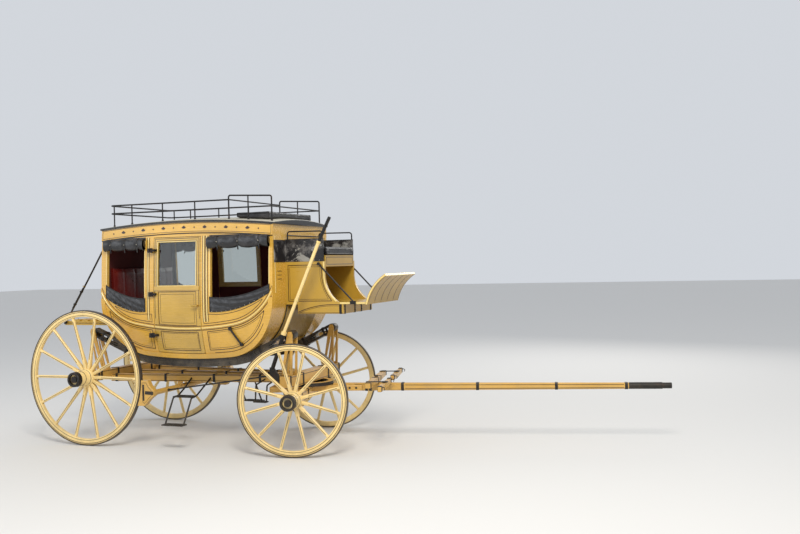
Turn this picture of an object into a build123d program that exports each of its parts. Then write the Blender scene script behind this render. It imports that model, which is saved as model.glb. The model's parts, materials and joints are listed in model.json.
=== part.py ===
"""A thoroughbrace stagecoach: egg-shaped nine-seat body slung on two leather straps,
dished wooden wheels, a front carriage steered by the pole, doors, boots and irons.
Millimetres, +X forward, +Z up, the ground at Z 0."""

import math
import os

from build123d import *

os.makedirs("parts", exist_ok=True)

# Running gear
TRACK = 1575.0
WHEELBASE = 2290.0
REAR_RADIUS = 722.0
FRONT_RADIUS = 555.0
TYRE_WIDTH = 46.0
TYRE_THICK = 12.0
STEER_REST = 12.5
POLE_REACH = 3700.0
POLE_TIP_RADIUS = 30.0
ARM_RADIUS = 24.6
BORE_RADIUS = 25.0
HUB_BACK = 150.0
HUB_FRONT = 190.0
DISH = 45.0
SHOULDER_GAP = 5.0

# The whole stands centred over the origin, measured from tyre to pole tip
STEER = math.radians(STEER_REST)
FRONT_END = WHEELBASE + POLE_REACH * math.cos(STEER) + POLE_TIP_RADIUS * math.sin(STEER)
AX = -(FRONT_END - REAR_RADIUS) / 2.0
KX = AX + WHEELBASE
BX = AX + 1170.0

# Body shell
HALF_LENGTH = 1040.0
BELT_Z = 1450.0
BELT_HALF = 655.0
ROOF_Z = 2345.0
ROOF_HALF = 605.0
SILL_Z = 920.0
SILL_HALF = 556.0
SILL_RADIUS = 5000.0
SILL_REACH = 500.0
ROOF_RADIUS = 10050.0
WALL = 32.0
END_WALL = 28.0
GAP = 5.0

LOW_RADIUS = ((BELT_Z - SILL_Z) ** 2 + (BELT_HALF - SILL_HALF) ** 2) / (2.0 * (BELT_HALF - SILL_HALF))
TOP_RADIUS = ((ROOF_Z - BELT_Z) ** 2 + (BELT_HALF - ROOF_HALF) ** 2) / (2.0 * (BELT_HALF - ROOF_HALF))
SILL_SIN = SILL_REACH / SILL_RADIUS
SILL_COS = math.sqrt(1.0 - SILL_SIN**2)
SILL_END_Z = SILL_Z + SILL_RADIUS * (1.0 - SILL_COS)
CORNER = (HALF_LENGTH - SILL_REACH) / (1.0 - SILL_SIN)
CORNER_X = SILL_REACH - CORNER * SILL_SIN
CORNER_Z = SILL_END_Z + CORNER * SILL_COS

# Belt moulding
MOULD_Z = 1240.0
MOULD_RADIUS = 3530.0
MOULD_REACH = 580.0
MOULD_CORNER = 617.0
MOULD_HALF = 14.0
MOULD_PROUD = 9.0
HEAD_Z = 2205.0
BOARD_HIGH = 112.0
BOARD_PROUD = 11.0
MOULD_SIN = MOULD_REACH / MOULD_RADIUS
MOULD_COS = math.sqrt(1.0 - MOULD_SIN**2)
MOULD_END_Z = MOULD_Z + MOULD_RADIUS * (1.0 - MOULD_COS)

# Door, from the rear axle
DOOR_REAR = 795.0
DOOR_FRONT = 1372.0
DOOR_TOP = 2195.0
SILL_BAND = 52.0
HINGE_OUT = 25.0
HINGE_X = AX + DOOR_REAR + 2.0
HINGE_Y = BELT_HALF + HINGE_OUT
REBATE = 8.0
REBATE_DEPTH = 12.0

# Thoroughbraces and their standards
BRACE_Y = 490.0
BRACE_WIDTH = 90.0
BRACE_THICK = 90.0
REAR_PIN = (AX - 90.0, 1190.0)
FRONT_PIN = (KX + 42.0, 1172.0)
PIN_RADIUS = 22.0
PLATE = 14.0


def half_width(z, d=0.0):
    """Half width of the body at height z, d outside its outer face."""
    radius = LOW_RADIUS if z < BELT_Z else TOP_RADIUS
    return BELT_HALF - radius + math.sqrt((radius + d) ** 2 - (z - BELT_Z) ** 2)


def section_line(d, z0=800.0, z1=2450.0):
    """Closed cross-section of the body at offset d, lines and arcs."""
    corners = []
    for z in (z0, (z0 + BELT_Z) / 2.0, BELT_Z, (BELT_Z + z1) / 2.0, z1):
        corners.append((half_width(z, d), z))
    a, b, c, e, f = corners
    ThreePointArc(a, b, c)
    ThreePointArc(c, e, f)
    Line(f, (-f[0], f[1]))
    ThreePointArc((-f[0], f[1]), (-e[0], e[1]), (-c[0], c[1]))
    ThreePointArc((-c[0], c[1]), (-b[0], b[1]), (-a[0], a[1]))
    Line((-a[0], a[1]), a)


def outline_line(i, top_inset=0.0):
    """Closed side outline of the body, inset by i, under the arched roof line."""
    mid = math.radians(-45.0)
    half = HALF_LENGTH - i
    crown = ROOF_Z - top_inset
    side_top = crown - ROOF_RADIUS + math.sqrt(ROOF_RADIUS**2 - half**2)
    low = (SILL_REACH - SILL_SIN * i, SILL_END_Z + SILL_COS * i)
    corner = (CORNER_X + (CORNER - i) * math.cos(mid), CORNER_Z + (CORNER - i) * math.sin(mid))
    ThreePointArc((BX - low[0], low[1]), (BX, SILL_Z + i), (BX + low[0], low[1]))
    ThreePointArc((BX + low[0], low[1]), (BX + corner[0], corner[1]), (BX + half, CORNER_Z))
    Line((BX + half, CORNER_Z), (BX + half, side_top))
    ThreePointArc((BX + half, side_top), (BX, crown), (BX - half, side_top))
    Line((BX - half, side_top), (BX - half, CORNER_Z))
    ThreePointArc((BX - half, CORNER_Z), (BX - corner[0], corner[1]), (BX - low[0], low[1]))


def mould_line(o):
    """Open belt curve o above its centre line, as its five points."""
    turn = math.radians(68.0)
    mid = (math.asin(MOULD_SIN) + turn) / 2.0
    cx = MOULD_REACH - MOULD_CORNER * MOULD_SIN
    cz = MOULD_END_Z + MOULD_CORNER * MOULD_COS
    low = (MOULD_REACH - MOULD_SIN * o, MOULD_END_Z + MOULD_COS * o)
    m = (cx + (MOULD_CORNER - o) * math.sin(mid), cz - (MOULD_CORNER - o) * math.cos(mid))
    e = (cx + (MOULD_CORNER - o) * math.sin(turn), cz - (MOULD_CORNER - o) * math.cos(turn))
    ThreePointArc((BX - e[0], e[1]), (BX - m[0], m[1]), (BX - low[0], low[1]))
    ThreePointArc((BX - low[0], low[1]), (BX, MOULD_Z + o), (BX + low[0], low[1]))
    ThreePointArc((BX + low[0], low[1]), (BX + m[0], m[1]), (BX + e[0], e[1]))
    return (BX - e[0], e[1]), (BX + e[0], e[1])


def body_slab(d, x0=None, x1=None):
    """Everything inside the body cross-section at offset d, between two stations."""
    start = BX - HALF_LENGTH - 200.0 if x0 is None else x0
    stop = BX + HALF_LENGTH + 200.0 if x1 is None else x1
    with BuildPart() as slab:
        with BuildSketch(Plane.YZ.offset(start)):
            with BuildLine():
                section_line(d)
            make_face()
        extrude(amount=stop - start)
    return slab.part


def outline_slab(i, top_inset=0.0):
    """Everything inside the side outline inset by i, across the whole width."""
    with BuildPart() as slab:
        with BuildSketch(Plane.XZ):
            with BuildLine():
                outline_line(i, top_inset)
            make_face()
        extrude(amount=800.0, both=True)
    return slab.part


def above_belt(o, x0, x1, z1):
    """The space above the belt curve between two stations and below z1."""
    with BuildPart() as slab:
        with BuildSketch(Plane.XZ):
            with BuildLine():
                start, stop = mould_line(o)
                Line(stop, (stop[0], 2600.0))
                Line((stop[0], 2600.0), (start[0], 2600.0))
                Line((start[0], 2600.0), start)
            make_face()
            with Locations(((x0 + x1) / 2.0, z1 / 2.0)):
                Rectangle(x1 - x0, z1, mode=Mode.INTERSECT)
        extrude(amount=800.0, both=True)
    return slab.part


def belt_slab():
    """The strip of the side that the belt moulding covers."""
    with BuildPart() as slab:
        with BuildSketch(Plane.XZ):
            with BuildLine():
                a, b = mould_line(-MOULD_HALF)
                c, e = mould_line(MOULD_HALF)
                Line(b, e)
                Line(a, c)
            make_face()
        extrude(amount=800.0, both=True)
    return slab.part


def box(x0, x1, y0, y1, z0, z1):
    """A plain block between two corners."""
    with BuildPart() as block:
        with Locations(((x0 + x1) / 2.0, (y0 + y1) / 2.0, (z0 + z1) / 2.0)):
            Box(x1 - x0, y1 - y0, z1 - z0)
    return block.part


def rod(p, q, radius):
    """A round bar between two points."""
    start = Vector(*p)
    run = Vector(*q) - start
    with BuildPart() as bar:
        with BuildSketch(Plane(origin=start, z_dir=run)):
            Circle(radius)
        extrude(amount=run.length)
    return bar.part


def bent_bar(points, radius, bend):
    """A round bar bent at each inner point, all points in one plane."""
    with BuildPart() as bar:
        with BuildLine() as path:
            FilletPolyline(*points, radius=bend)
        with BuildSketch(Plane(origin=path.line @ 0, z_dir=path.line % 0)):
            Circle(radius)
        sweep(path=path.line)
    return bar.part


def prism(points, y0, y1):
    """A side-view polygon drawn out across the width."""
    with BuildPart() as block:
        with BuildSketch(Plane.XZ.offset(-y0)):
            with BuildLine():
                Polyline(*points, close=True)
            make_face()
        extrude(amount=-(y1 - y0))
    return block.part


def other_side(shape):
    """The same piece on the right of the coach."""
    return mirror(shape, about=Plane.XZ)


def save(shape, name):
    """One node, named, written out."""
    part = shape if isinstance(shape, Part) else Part(shape.wrapped)
    part.label = name
    export_step(part, "parts/" + name + ".step")


def save_pair(shape, name):
    """The left piece and its mirror image on the right."""
    save(shape, name + "_left")
    save(other_side(shape), name + "_right")


SIDES = (("right", -1.0), ("left", 1.0))
LEFT_HALF = box(BX - 1300.0, BX + 1300.0, 0.0, 900.0, 700.0, 2600.0)
OUTER = body_slab(0.0)
INNER = body_slab(-WALL)
OUTLINE = outline_slab(0.0)
MOULD_RING = body_slab(MOULD_PROUD) - OUTER

# Side walls: curved panels between pillars, windows and door cut out
# Each row: window ends, then start, middle and end heights of the leather
# apron's upper edge and of its lower edge
WINDOWS = (
    (AX + 205.0, AX + 680.0, (1702.0, 1592.0, 1558.0), (1568.0, 1449.0, 1418.0)),
    (AX + 1492.0, AX + 2165.0, (1566.0, 1580.0, 1690.0), (1416.0, 1455.0, 1612.0)),
)
WINDOW_TOP = 2185.0
APRON_LAP = 12.0
APRON_COVER = 30.0


def above_edge(x0, x1, edge):
    """The side-view field from a curved edge up to the head of the windows."""
    with BuildPart() as zone:
        with BuildSketch(Plane.XZ):
            with BuildLine():
                ThreePointArc((x0, edge[0]), ((x0 + x1) / 2.0, edge[1]), (x1, edge[2]))
                Line((x1, edge[2]), (x1, WINDOW_TOP))
                Line((x1, WINDOW_TOP), (x0, WINDOW_TOP))
                Line((x0, WINDOW_TOP), (x0, edge[0]))
            make_face()
        extrude(amount=800.0, both=True)
    return zone.part


window_cuts = []
for x0, x1, apron_top, apron_foot in WINDOWS:
    sill = [z + APRON_COVER for z in apron_foot]
    window_cuts.append(above_edge(x0, x1, sill))
door_cut = box(AX + DOOR_REAR, AX + DOOR_FRONT, -800.0, 800.0, 800.0, DOOR_TOP) & outline_slab(SILL_BAND)
belt_strip = belt_slab() & OUTLINE
wall_pair = (OUTER - INNER) & OUTLINE
for cut in window_cuts:
    wall_pair = wall_pair - cut
wall_pair = wall_pair - door_cut
sill_strip = OUTLINE - outline_slab(SILL_BAND - 2.0)
sill_strip = sill_strip & box(BX - 1100.0, BX + 1100.0, -800.0, 800.0, 800.0, 1560.0)
trim = MOULD_RING & (belt_strip - box(AX + DOOR_REAR, AX + DOOR_FRONT, -800.0, 800.0, 800.0, DOOR_TOP))
sill_trim = MOULD_RING & sill_strip
wall_pair = wall_pair + trim + sill_trim
save_pair(wall_pair & LEFT_HALF, "side_wall")

# Letter boards under the arched roof line, left bare
board_zone = OUTLINE - outline_slab(-1.0, BOARD_HIGH)
board_pair = (body_slab(BOARD_PROUD) - OUTER) & board_zone
save(board_pair, "letter_boards")

# Floor and end panels between the side walls
shell = (OUTLINE - outline_slab(END_WALL, -200.0)) & INNER
FLOOR_HALF = 620.0
floor_zone = box(BX - FLOOR_HALF, BX + FLOOR_HALF, -800.0, 800.0, 800.0, 1300.0)
save(shell & floor_zone, "floor")
rear_zone = box(BX - 1200.0, BX - FLOOR_HALF, -800.0, 800.0, 800.0, 2500.0)
front_zone = box(BX + FLOOR_HALF, BX + 1200.0, -800.0, 800.0, 800.0, 2500.0)
save(shell & rear_zone, "rear_panel")
save(shell & front_zone, "front_panel")

# Roof: low dome bent over the arched top of the walls
ROOF_EDGE = 20.0
ROOF_CROWN = 62.0
ROOF_OVER = 22.0
roof_half = half_width(ROOF_Z) + ROOF_OVER
roof_swing = math.degrees(math.asin((HALF_LENGTH + ROOF_OVER) / (ROOF_RADIUS + ROOF_EDGE)))
with BuildPart() as roof:
    with BuildSketch(Plane.YZ.offset(BX)):
        with BuildLine():
            Line((-roof_half, ROOF_Z), (roof_half, ROOF_Z))
            Line((roof_half, ROOF_Z), (roof_half, ROOF_Z + ROOF_EDGE))
            ThreePointArc(
                (roof_half, ROOF_Z + ROOF_EDGE),
                (0.0, ROOF_Z + ROOF_CROWN),
                (-roof_half, ROOF_Z + ROOF_EDGE),
            )
            Line((-roof_half, ROOF_Z + ROOF_EDGE), (-roof_half, ROOF_Z))
        make_face()
    bend = Axis((BX, 0.0, ROOF_Z - ROOF_RADIUS), (0.0, 1.0, 0.0))
    revolve(axis=bend, revolution_arc=roof_swing)
roof_front = roof.part
roof_rear = mirror(roof_front, about=Plane.YZ.offset(BX))
save(roof_front + roof_rear, "roof")


def roof_top(x, y):
    """Height of the roof's upper face over a point."""
    rise = ROOF_CROWN - ROOF_EDGE
    dome = (roof_half**2 + rise**2) / (2.0 * rise)
    drop = dome - math.sqrt(dome**2 - y**2)
    radius = ROOF_RADIUS + ROOF_CROWN - drop
    return ROOF_Z - ROOF_RADIUS + math.sqrt(radius**2 - (x - BX) ** 2)


# Benches and their leather cushions
BENCH_Z = 1255.0
BENCH_DEPTH = 430.0
BENCH_BOARD = 25.0
CUSHION = 75.0
cavity = outline_slab(END_WALL) & INNER
bench_tables = (
    ("rear", BX - HALF_LENGTH, BX - HALF_LENGTH + END_WALL + BENCH_DEPTH),
    ("front", BX + HALF_LENGTH - END_WALL - BENCH_DEPTH, BX + HALF_LENGTH),
)
for name, x0, x1 in bench_tables:
    top = box(x0, x1, -700.0, 700.0, BENCH_Z - BENCH_BOARD, BENCH_Z) & cavity
    face_x = x1 - 20.0 if name == "rear" else x0
    riser = box(face_x, face_x + 20.0, -700.0, 700.0, 900.0, BENCH_Z - BENCH_BOARD) & cavity
    save(top + riser, "bench_" + name)
    pad = box(x0, x1, -560.0, 560.0, BENCH_Z, BENCH_Z + CUSHION) & cavity
    back_x0 = x0 if name == "rear" else x1 - END_WALL - 60.0
    back_x1 = x0 + END_WALL + 60.0 if name == "rear" else x1
    back = box(back_x0, back_x1, -560.0, 560.0, BENCH_Z + CUSHION + 2.0, 1900.0) & cavity
    save(pad + back, "seat_leather_" + name)

# Middle bench on its two turned legs
MID_X = BX - 5.0
MID_DEPTH = 300.0
mid_x0 = MID_X - MID_DEPTH / 2.0
mid_seat = box(mid_x0, mid_x0 + MID_DEPTH, -430.0, 430.0, BENCH_Z - 10.0, BENCH_Z + 50.0)
for x in (MID_X - 110.0, MID_X + 110.0):
    for y in (-330.0, 330.0):
        leg = rod((x, y, SILL_Z + END_WALL - 5.0), (x, y, BENCH_Z - 10.0), 16.0) & outline_slab(END_WALL)
        mid_seat = mid_seat + leg
save(mid_seat, "bench_middle")

# Leather at the windows: rolled curtain above, apron below
ROLL_HALF_DEPTH = 33.0
ROLL_HALF_HEIGHT = 58.0
ROLL_LAP = 14.0
LEATHER = 5.0
ROLL_Z = HEAD_Z - ROLL_HALF_HEIGHT - 24.0
curtains = None
aprons = None
roll_y = half_width(ROLL_Z) + ROLL_HALF_DEPTH - 2.0
for window_x0, window_x1, apron_top, apron_foot in WINDOWS:
    x0 = window_x0 - ROLL_LAP
    x1 = window_x1 + ROLL_LAP
    with BuildPart() as roll:
        with BuildSketch(Plane.YZ.offset(x0)):
            with Locations((roll_y, ROLL_Z)):
                Ellipse(ROLL_HALF_DEPTH, ROLL_HALF_HEIGHT)
        extrude(amount=x1 - x0)
    neck_y = half_width(HEAD_Z) - 2.0
    neck = box(x0, x1, neck_y, neck_y + BOARD_PROUD, ROLL_Z + 20.0, HEAD_Z)
    curtain = (roll.part + neck) - OUTER - board_pair
    curtains = curtain if curtains is None else curtains + curtain
    x0 = window_x0 - APRON_LAP
    x1 = window_x1 + APRON_LAP
    apron = (body_slab(LEATHER) - OUTER) & LEFT_HALF & OUTLINE & above_edge(x0, x1, apron_foot)
    apron = apron - above_edge(x0 - 1.0, x1 + 1.0, apron_top) - trim - sill_trim
    aprons = apron if aprons is None else aprons + apron
save_pair(curtains, "curtains")
save_pair(aprons, "aprons")

# Hinge irons: a pin on the leaf held by two eyes on the pillar
HINGE_HEIGHTS = (1170.0, 1600.0, 2060.0)
HINGE_PIN = 8.0
HINGE_SLACK = 0.5
LINK_HALF = 12.0
KNUCKLE_HALF = 23.0
KNUCKLE = 15.0

# Doors: curved leaf, window, sunk lower panel, moulding and handle
GLASS = 5.0
DOOR_STILE = 52.0
WINDOW_LOW = 1690.0
WINDOW_HIGH = 2140.0
PANEL_LOW = 60.0
PANEL_HIGH = 1628.0
PANEL_SINK = 7.0
leaf_x0 = AX + DOOR_REAR + GAP
leaf_x1 = AX + DOOR_FRONT - GAP - 1.0
leaf_zone = box(leaf_x0, leaf_x1, -800.0, 800.0, 800.0, DOOR_TOP - GAP) & outline_slab(SILL_BAND + GAP)
leaf_pair = (OUTER - INNER) & leaf_zone
rebate_zone = box(leaf_x1 - REBATE, leaf_x1 + 10.0, -800.0, 800.0, 700.0, 2500.0) & body_slab(-REBATE_DEPTH)
leaf_pair = leaf_pair - rebate_zone
pane_zone = box(leaf_x0 + DOOR_STILE, leaf_x1 - DOOR_STILE, -800.0, 800.0, WINDOW_LOW, WINDOW_HIGH)
leaf_pair = leaf_pair - pane_zone
sunk = above_belt(MOULD_HALF + 12.0, leaf_x0 + DOOR_STILE - 4.0, leaf_x1 - DOOR_STILE + 4.0, PANEL_HIGH)
leaf_pair = leaf_pair - (sunk & (OUTER - body_slab(-PANEL_SINK)))
leaf_pair = leaf_pair + (MOULD_RING & belt_strip & leaf_zone)
rail_zone = box(leaf_x0 + 8.0, leaf_x1 - 8.0, -800.0, 800.0, PANEL_HIGH + 12.0, WINDOW_LOW - 8.0)
leaf_pair = leaf_pair + (MOULD_RING & rail_zone)
pane_pair = (body_slab(-14.0) - body_slab(-14.0 - GLASS)) & pane_zone
leaf = leaf_pair & LEFT_HALF
grip_z = 1478.0
grip_y = half_width(grip_z) + 30.0
grip_x = leaf_x1 - 24.0
leaf = leaf + rod((grip_x, half_width(grip_z) - 10.0, grip_z), (grip_x, grip_y, grip_z), 8.0)
leaf = leaf + rod((leaf_x1 - 90.0, grip_y, grip_z), (leaf_x1 - 14.0, grip_y, grip_z), 10.0)
for z in HINGE_HEIGHTS:
    tail_y = half_width(z) - 6.0
    arm = box(leaf_x0 + 1.0, leaf_x0 + 36.0, tail_y, HINGE_Y, z - LINK_HALF, z + LINK_HALF)
    link = box(HINGE_X, leaf_x0 + 2.0, HINGE_Y - 6.0, HINGE_Y + 6.0, z - LINK_HALF, z + LINK_HALF)
    pin_half = KNUCKLE_HALF + 2.0
    pin = rod((HINGE_X, HINGE_Y, z - pin_half), (HINGE_X, HINGE_Y, z + pin_half), HINGE_PIN)
    leaf = leaf + arm + link + pin
save_pair(leaf, "door")
save_pair(pane_pair & LEFT_HALF, "door_glass")

# Rub irons that keep the turned front wheels off the panels
RUB_ENDS = ((AX + 1712.0, 1243.0), (AX + 1826.0, 1078.0))
RUB_OFF = 17.0
RUB_RADIUS = 10.0
rub_points = []
for share in (0.0, 0.5, 1.0):
    x = RUB_ENDS[0][0] + share * (RUB_ENDS[1][0] - RUB_ENDS[0][0])
    z = RUB_ENDS[0][1] + share * (RUB_ENDS[1][1] - RUB_ENDS[0][1])
    rub_points.append((x, half_width(z) + RUB_OFF, z))
with BuildPart() as rub:
    with BuildLine() as path:
        ThreePointArc(*rub_points)
    with BuildSketch(Plane(origin=path.line @ 0, z_dir=path.line % 0)):
        Circle(RUB_RADIUS)
    sweep(path=path.line)
iron = rub.part
for x, z in RUB_ENDS:
    iron = iron + rod((x, half_width(z) - 20.0, z), (x, half_width(z) + 26.0, z), 16.0)
for z in HINGE_HEIGHTS:
    strap = box(
        HINGE_X - 44.0,
        HINGE_X - HINGE_PIN - 3.0,
        half_width(z) - 10.0,
        HINGE_Y + 6.0,
        z - KNUCKLE_HALF,
        z + KNUCKLE_HALF,
    )
    eye = rod((HINGE_X, HINGE_Y, z - KNUCKLE_HALF), (HINGE_X, HINGE_Y, z + KNUCKLE_HALF), KNUCKLE)
    eye = eye - box(
        HINGE_X - HINGE_PIN - 3.0,
        HINGE_X + 30.0,
        HINGE_Y - 30.0,
        HINGE_Y + 30.0,
        z - LINK_HALF - 1.5,
        z + LINK_HALF + 1.5,
    )
    bore = rod((HINGE_X, HINGE_Y, z - 40.0), (HINGE_X, HINGE_Y, z + 40.0), HINGE_PIN + HINGE_SLACK)
    iron = iron + ((strap + eye) - bore)
iron = iron - OUTER
save(iron + other_side(iron), "side_irons")

# Thoroughbraces: stacked leather slung from pin to pin under the body
brace_mid = BRACE_THICK / 2.0 + 1.0


def brace_tangent(pin, centre_x):
    """Touching point on the body's corner circle for a strap from the pin."""
    radius = CORNER + brace_mid
    dx = pin[0] - centre_x
    dz = pin[1] - CORNER_Z
    far = math.hypot(dx, dz)
    turn = math.acos(radius / far)
    lean = math.atan2(dz, dx)
    angle = lean + turn if dx < 0.0 else lean - turn
    return angle, (centre_x + radius * math.cos(angle), CORNER_Z + radius * math.sin(angle))


rear_angle, rear_touch = brace_tangent(REAR_PIN, BX - CORNER_X)
front_angle, front_touch = brace_tangent(FRONT_PIN, BX + CORNER_X)


def brace_offset(d):
    """Points of the strap at distance d from the body's underside."""
    low = (SILL_REACH + SILL_SIN * d, SILL_END_Z - SILL_COS * d)
    radius = CORNER + d
    out = []
    ends = ((BX - CORNER_X, rear_angle, -1.0), (BX + CORNER_X, front_angle, 1.0))
    for centre_x, angle, mirror_sign in ends:
        touch = (centre_x + radius * math.cos(angle), CORNER_Z + radius * math.sin(angle))
        start = math.atan2(-SILL_COS, mirror_sign * SILL_SIN)
        blend = angle
        if mirror_sign < 0.0:
            blend = angle - 2.0 * math.pi if angle > 0.0 else angle
        mid_angle = (start + blend) / 2.0
        mid_point = (centre_x + radius * math.cos(mid_angle), CORNER_Z + radius * math.sin(mid_angle))
        pin = REAR_PIN if mirror_sign < 0.0 else FRONT_PIN
        shift = d - brace_mid
        end = (pin[0] + shift * math.cos(angle), pin[1] + shift * math.sin(angle))
        out.append((touch, mid_point, end))
    return out, low


inner_set, inner_low = brace_offset(1.0)
outer_set, outer_low = brace_offset(1.0 + BRACE_THICK)
brace_y0 = BRACE_Y - BRACE_WIDTH / 2.0
with BuildPart() as brace:
    with BuildSketch(Plane.XZ.offset(-brace_y0)):
        with BuildLine():
            (it, im, ie), (jt, jm, je) = inner_set
            (ot, om, oe), (pt, pm, pe) = outer_set
            Line(ie, it)
            ThreePointArc(it, im, (BX - inner_low[0], inner_low[1]))
            ThreePointArc(
                (BX - inner_low[0], inner_low[1]),
                (BX, SILL_Z - 1.0),
                (BX + inner_low[0], inner_low[1]),
            )
            ThreePointArc((BX + inner_low[0], inner_low[1]), jm, jt)
            Line(jt, je)
            Line(je, pe)
            Line(pe, pt)
            ThreePointArc(pt, pm, (BX + outer_low[0], outer_low[1]))
            ThreePointArc(
                (BX + outer_low[0], outer_low[1]),
                (BX, SILL_Z - 1.0 - BRACE_THICK),
                (BX - outer_low[0], outer_low[1]),
            )
            ThreePointArc((BX - outer_low[0], outer_low[1]), om, ot)
            Line(ot, oe)
            Line(oe, ie)
        make_face()
    extrude(amount=-BRACE_WIDTH)
    with BuildSketch(Plane.XZ.offset(-brace_y0)):
        with Locations(REAR_PIN, FRONT_PIN):
            Circle(BRACE_THICK / 2.0)
    extrude(amount=-BRACE_WIDTH)
    with BuildSketch(Plane.XZ.offset(-brace_y0)):
        with Locations(REAR_PIN, FRONT_PIN):
            Circle(PIN_RADIUS)
    extrude(amount=-BRACE_WIDTH, mode=Mode.SUBTRACT)
save_pair(brace.part, "thoroughbrace")


# Axles: a bed with round iron arms, a shoulder behind each hub and a nut in its mouth
BED_HALF = 45.0
BED_RISE = 50.0
BED_REACH = 600.0
NUT_RECESS = 32.0
NUT_RADIUS = 34.0
NUT_GAP = 4.0
NUT_LONG = 18.0
SHOULDER_RADIUS = 45.0


def axle_arms(bed, x, z):
    """The bed with its arms, shoulders and nuts added at both ends."""
    shoulder = TRACK / 2.0 - HUB_BACK - SHOULDER_GAP
    nut = TRACK / 2.0 + HUB_FRONT - NUT_RECESS + NUT_GAP
    for s in (-1.0, 1.0):
        bed = bed + rod((x, s * (BED_REACH - 10.0), z), (x, s * shoulder, z), SHOULDER_RADIUS)
        bed = bed + rod((x, s * shoulder, z), (x, s * (nut + NUT_LONG / 2.0), z), ARM_RADIUS)
        bed = bed + rod((x, s * nut, z), (x, s * (nut + NUT_LONG), z), NUT_RADIUS)
    return bed


rear_bed_z0 = REAR_RADIUS - BED_RISE
rear_bed_z1 = REAR_RADIUS + BED_RISE
rear_bed = box(AX - BED_HALF, AX + BED_HALF, -BED_REACH, BED_REACH, rear_bed_z0, rear_bed_z1)
save(axle_arms(rear_bed, AX, REAR_RADIUS), "rear_axle")

# Perches from the rear axle to the front bolster, one straight and two that close in
PERCH_DEEP = 80.0
PERCH_Z1 = REAR_RADIUS - 2.0
PERCH_Z0 = PERCH_Z1 - PERCH_DEEP
SPREAD_REAR = 400.0
SPREAD_FRONT = 140.0
BOLSTER_HALF = 60.0
perch_end = KX - BOLSTER_HALF
perch_start = AX + BED_HALF
perches = None
for s, width in ((0.0, 60.0), (-1.0, 55.0), (1.0, 55.0)):
    y0 = s * SPREAD_REAR
    y1 = s * SPREAD_FRONT
    with BuildPart() as perch:
        with BuildSketch(Plane.XY.offset(PERCH_Z0)):
            with BuildLine():
                Polyline(
                    (perch_start, y0 - width / 2.0),
                    (perch_end, y1 - width / 2.0),
                    (perch_end, y1 + width / 2.0),
                    (perch_start, y0 + width / 2.0),
                    close=True,
                )
            make_face()
        extrude(amount=PERCH_DEEP)
    perches = perch.part if perches is None else perches + perch.part
save(perches, "perches")


def perch_y(x, s):
    """Centre of a side perch at station x."""
    t = (x - perch_start) / (perch_end - perch_start)
    return s * (SPREAD_REAR + (SPREAD_FRONT - SPREAD_REAR) * t)


# Front bolster, upper turning plate and king bolt
BOLSTER_Z0 = 645.0
BOLSTER_Z1 = 765.0
BOLSTER_REACH = 590.0
PLATE_Z = 628.0
PLATE_GAP = 1.0
RING_IN = 180.0
RING_OUT = 235.0
KING_RADIUS = 16.0
KING_SLACK = 0.6
KING_FOOT = 490.0
with BuildPart() as bolster:
    with Locations((KX, 0.0, (BOLSTER_Z0 + BOLSTER_Z1) / 2.0)):
        Box(2.0 * BOLSTER_HALF, 2.0 * BOLSTER_REACH, BOLSTER_Z1 - BOLSTER_Z0)
    with BuildSketch(Plane.XY.offset(PLATE_Z + PLATE_GAP)):
        with Locations((KX, 0.0)):
            Circle(RING_OUT)
            Circle(RING_IN, mode=Mode.SUBTRACT)
    extrude(amount=BOLSTER_Z0 - PLATE_Z - PLATE_GAP)
    with BuildSketch(Plane.XY.offset(KING_FOOT)):
        with Locations((KX, 0.0)):
            Circle(KING_RADIUS)
    extrude(amount=BOLSTER_Z0 - KING_FOOT + 45.0)
perch_block = box(perch_start, perch_end, -500.0, 500.0, PERCH_Z0, PERCH_Z1)
save(bolster.part - perch_block, "front_bolster")

# Standards: paired iron cheeks that carry the strap pins
CHEEK_SHOULDER = 30.0
CHEEK_CROWN = 18.0
CHEEK_TOP = 34.0
CHEEK_WEB = 24.0
for name, pin, seat_x, seat_z, foot in (
    ("rear", REAR_PIN, AX, REAR_RADIUS + BED_RISE, BED_HALF),
    ("front", FRONT_PIN, KX, BOLSTER_Z1, BOLSTER_HALF),
):
    cheek_line = (
        (seat_x - foot, seat_z),
        (seat_x + foot, seat_z),
        (pin[0] + CHEEK_SHOULDER, pin[1]),
        (pin[0] + CHEEK_CROWN, pin[1] + CHEEK_TOP),
        (pin[0] - CHEEK_CROWN, pin[1] + CHEEK_TOP),
        (pin[0] - CHEEK_SHOULDER, pin[1]),
    )
    slot_line = (
        (seat_x - foot + CHEEK_WEB, seat_z + CHEEK_WEB - 2.0),
        (seat_x + foot - CHEEK_WEB, seat_z + CHEEK_WEB - 2.0),
        (pin[0] + 8.0, pin[1] - 90.0),
        (pin[0] - 8.0, pin[1] - 90.0),
    )
    stand = None
    for s in (-1.0, 1.0):
        for off in (-1.0, 1.0):
            near = s * BRACE_Y + off * (BRACE_WIDTH / 2.0 + 1.0)
            far = near + off * PLATE
            y0 = min(near, far)
            y1 = max(near, far)
            cheek = prism(cheek_line, y0, y1) - prism(slot_line, y0 - 1.0, y1 + 1.0)
            stand = cheek if stand is None else stand + cheek
        reach = BRACE_WIDTH / 2.0 + 1.0 + PLATE + 4.0
        pin_y = s * BRACE_Y
        pin_bar = rod((pin[0], pin_y - reach, pin[1]), (pin[0], pin_y + reach, pin[1]), PIN_RADIUS)
        stand = stand + pin_bar
    save(stand, "standards_" + name)

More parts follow.
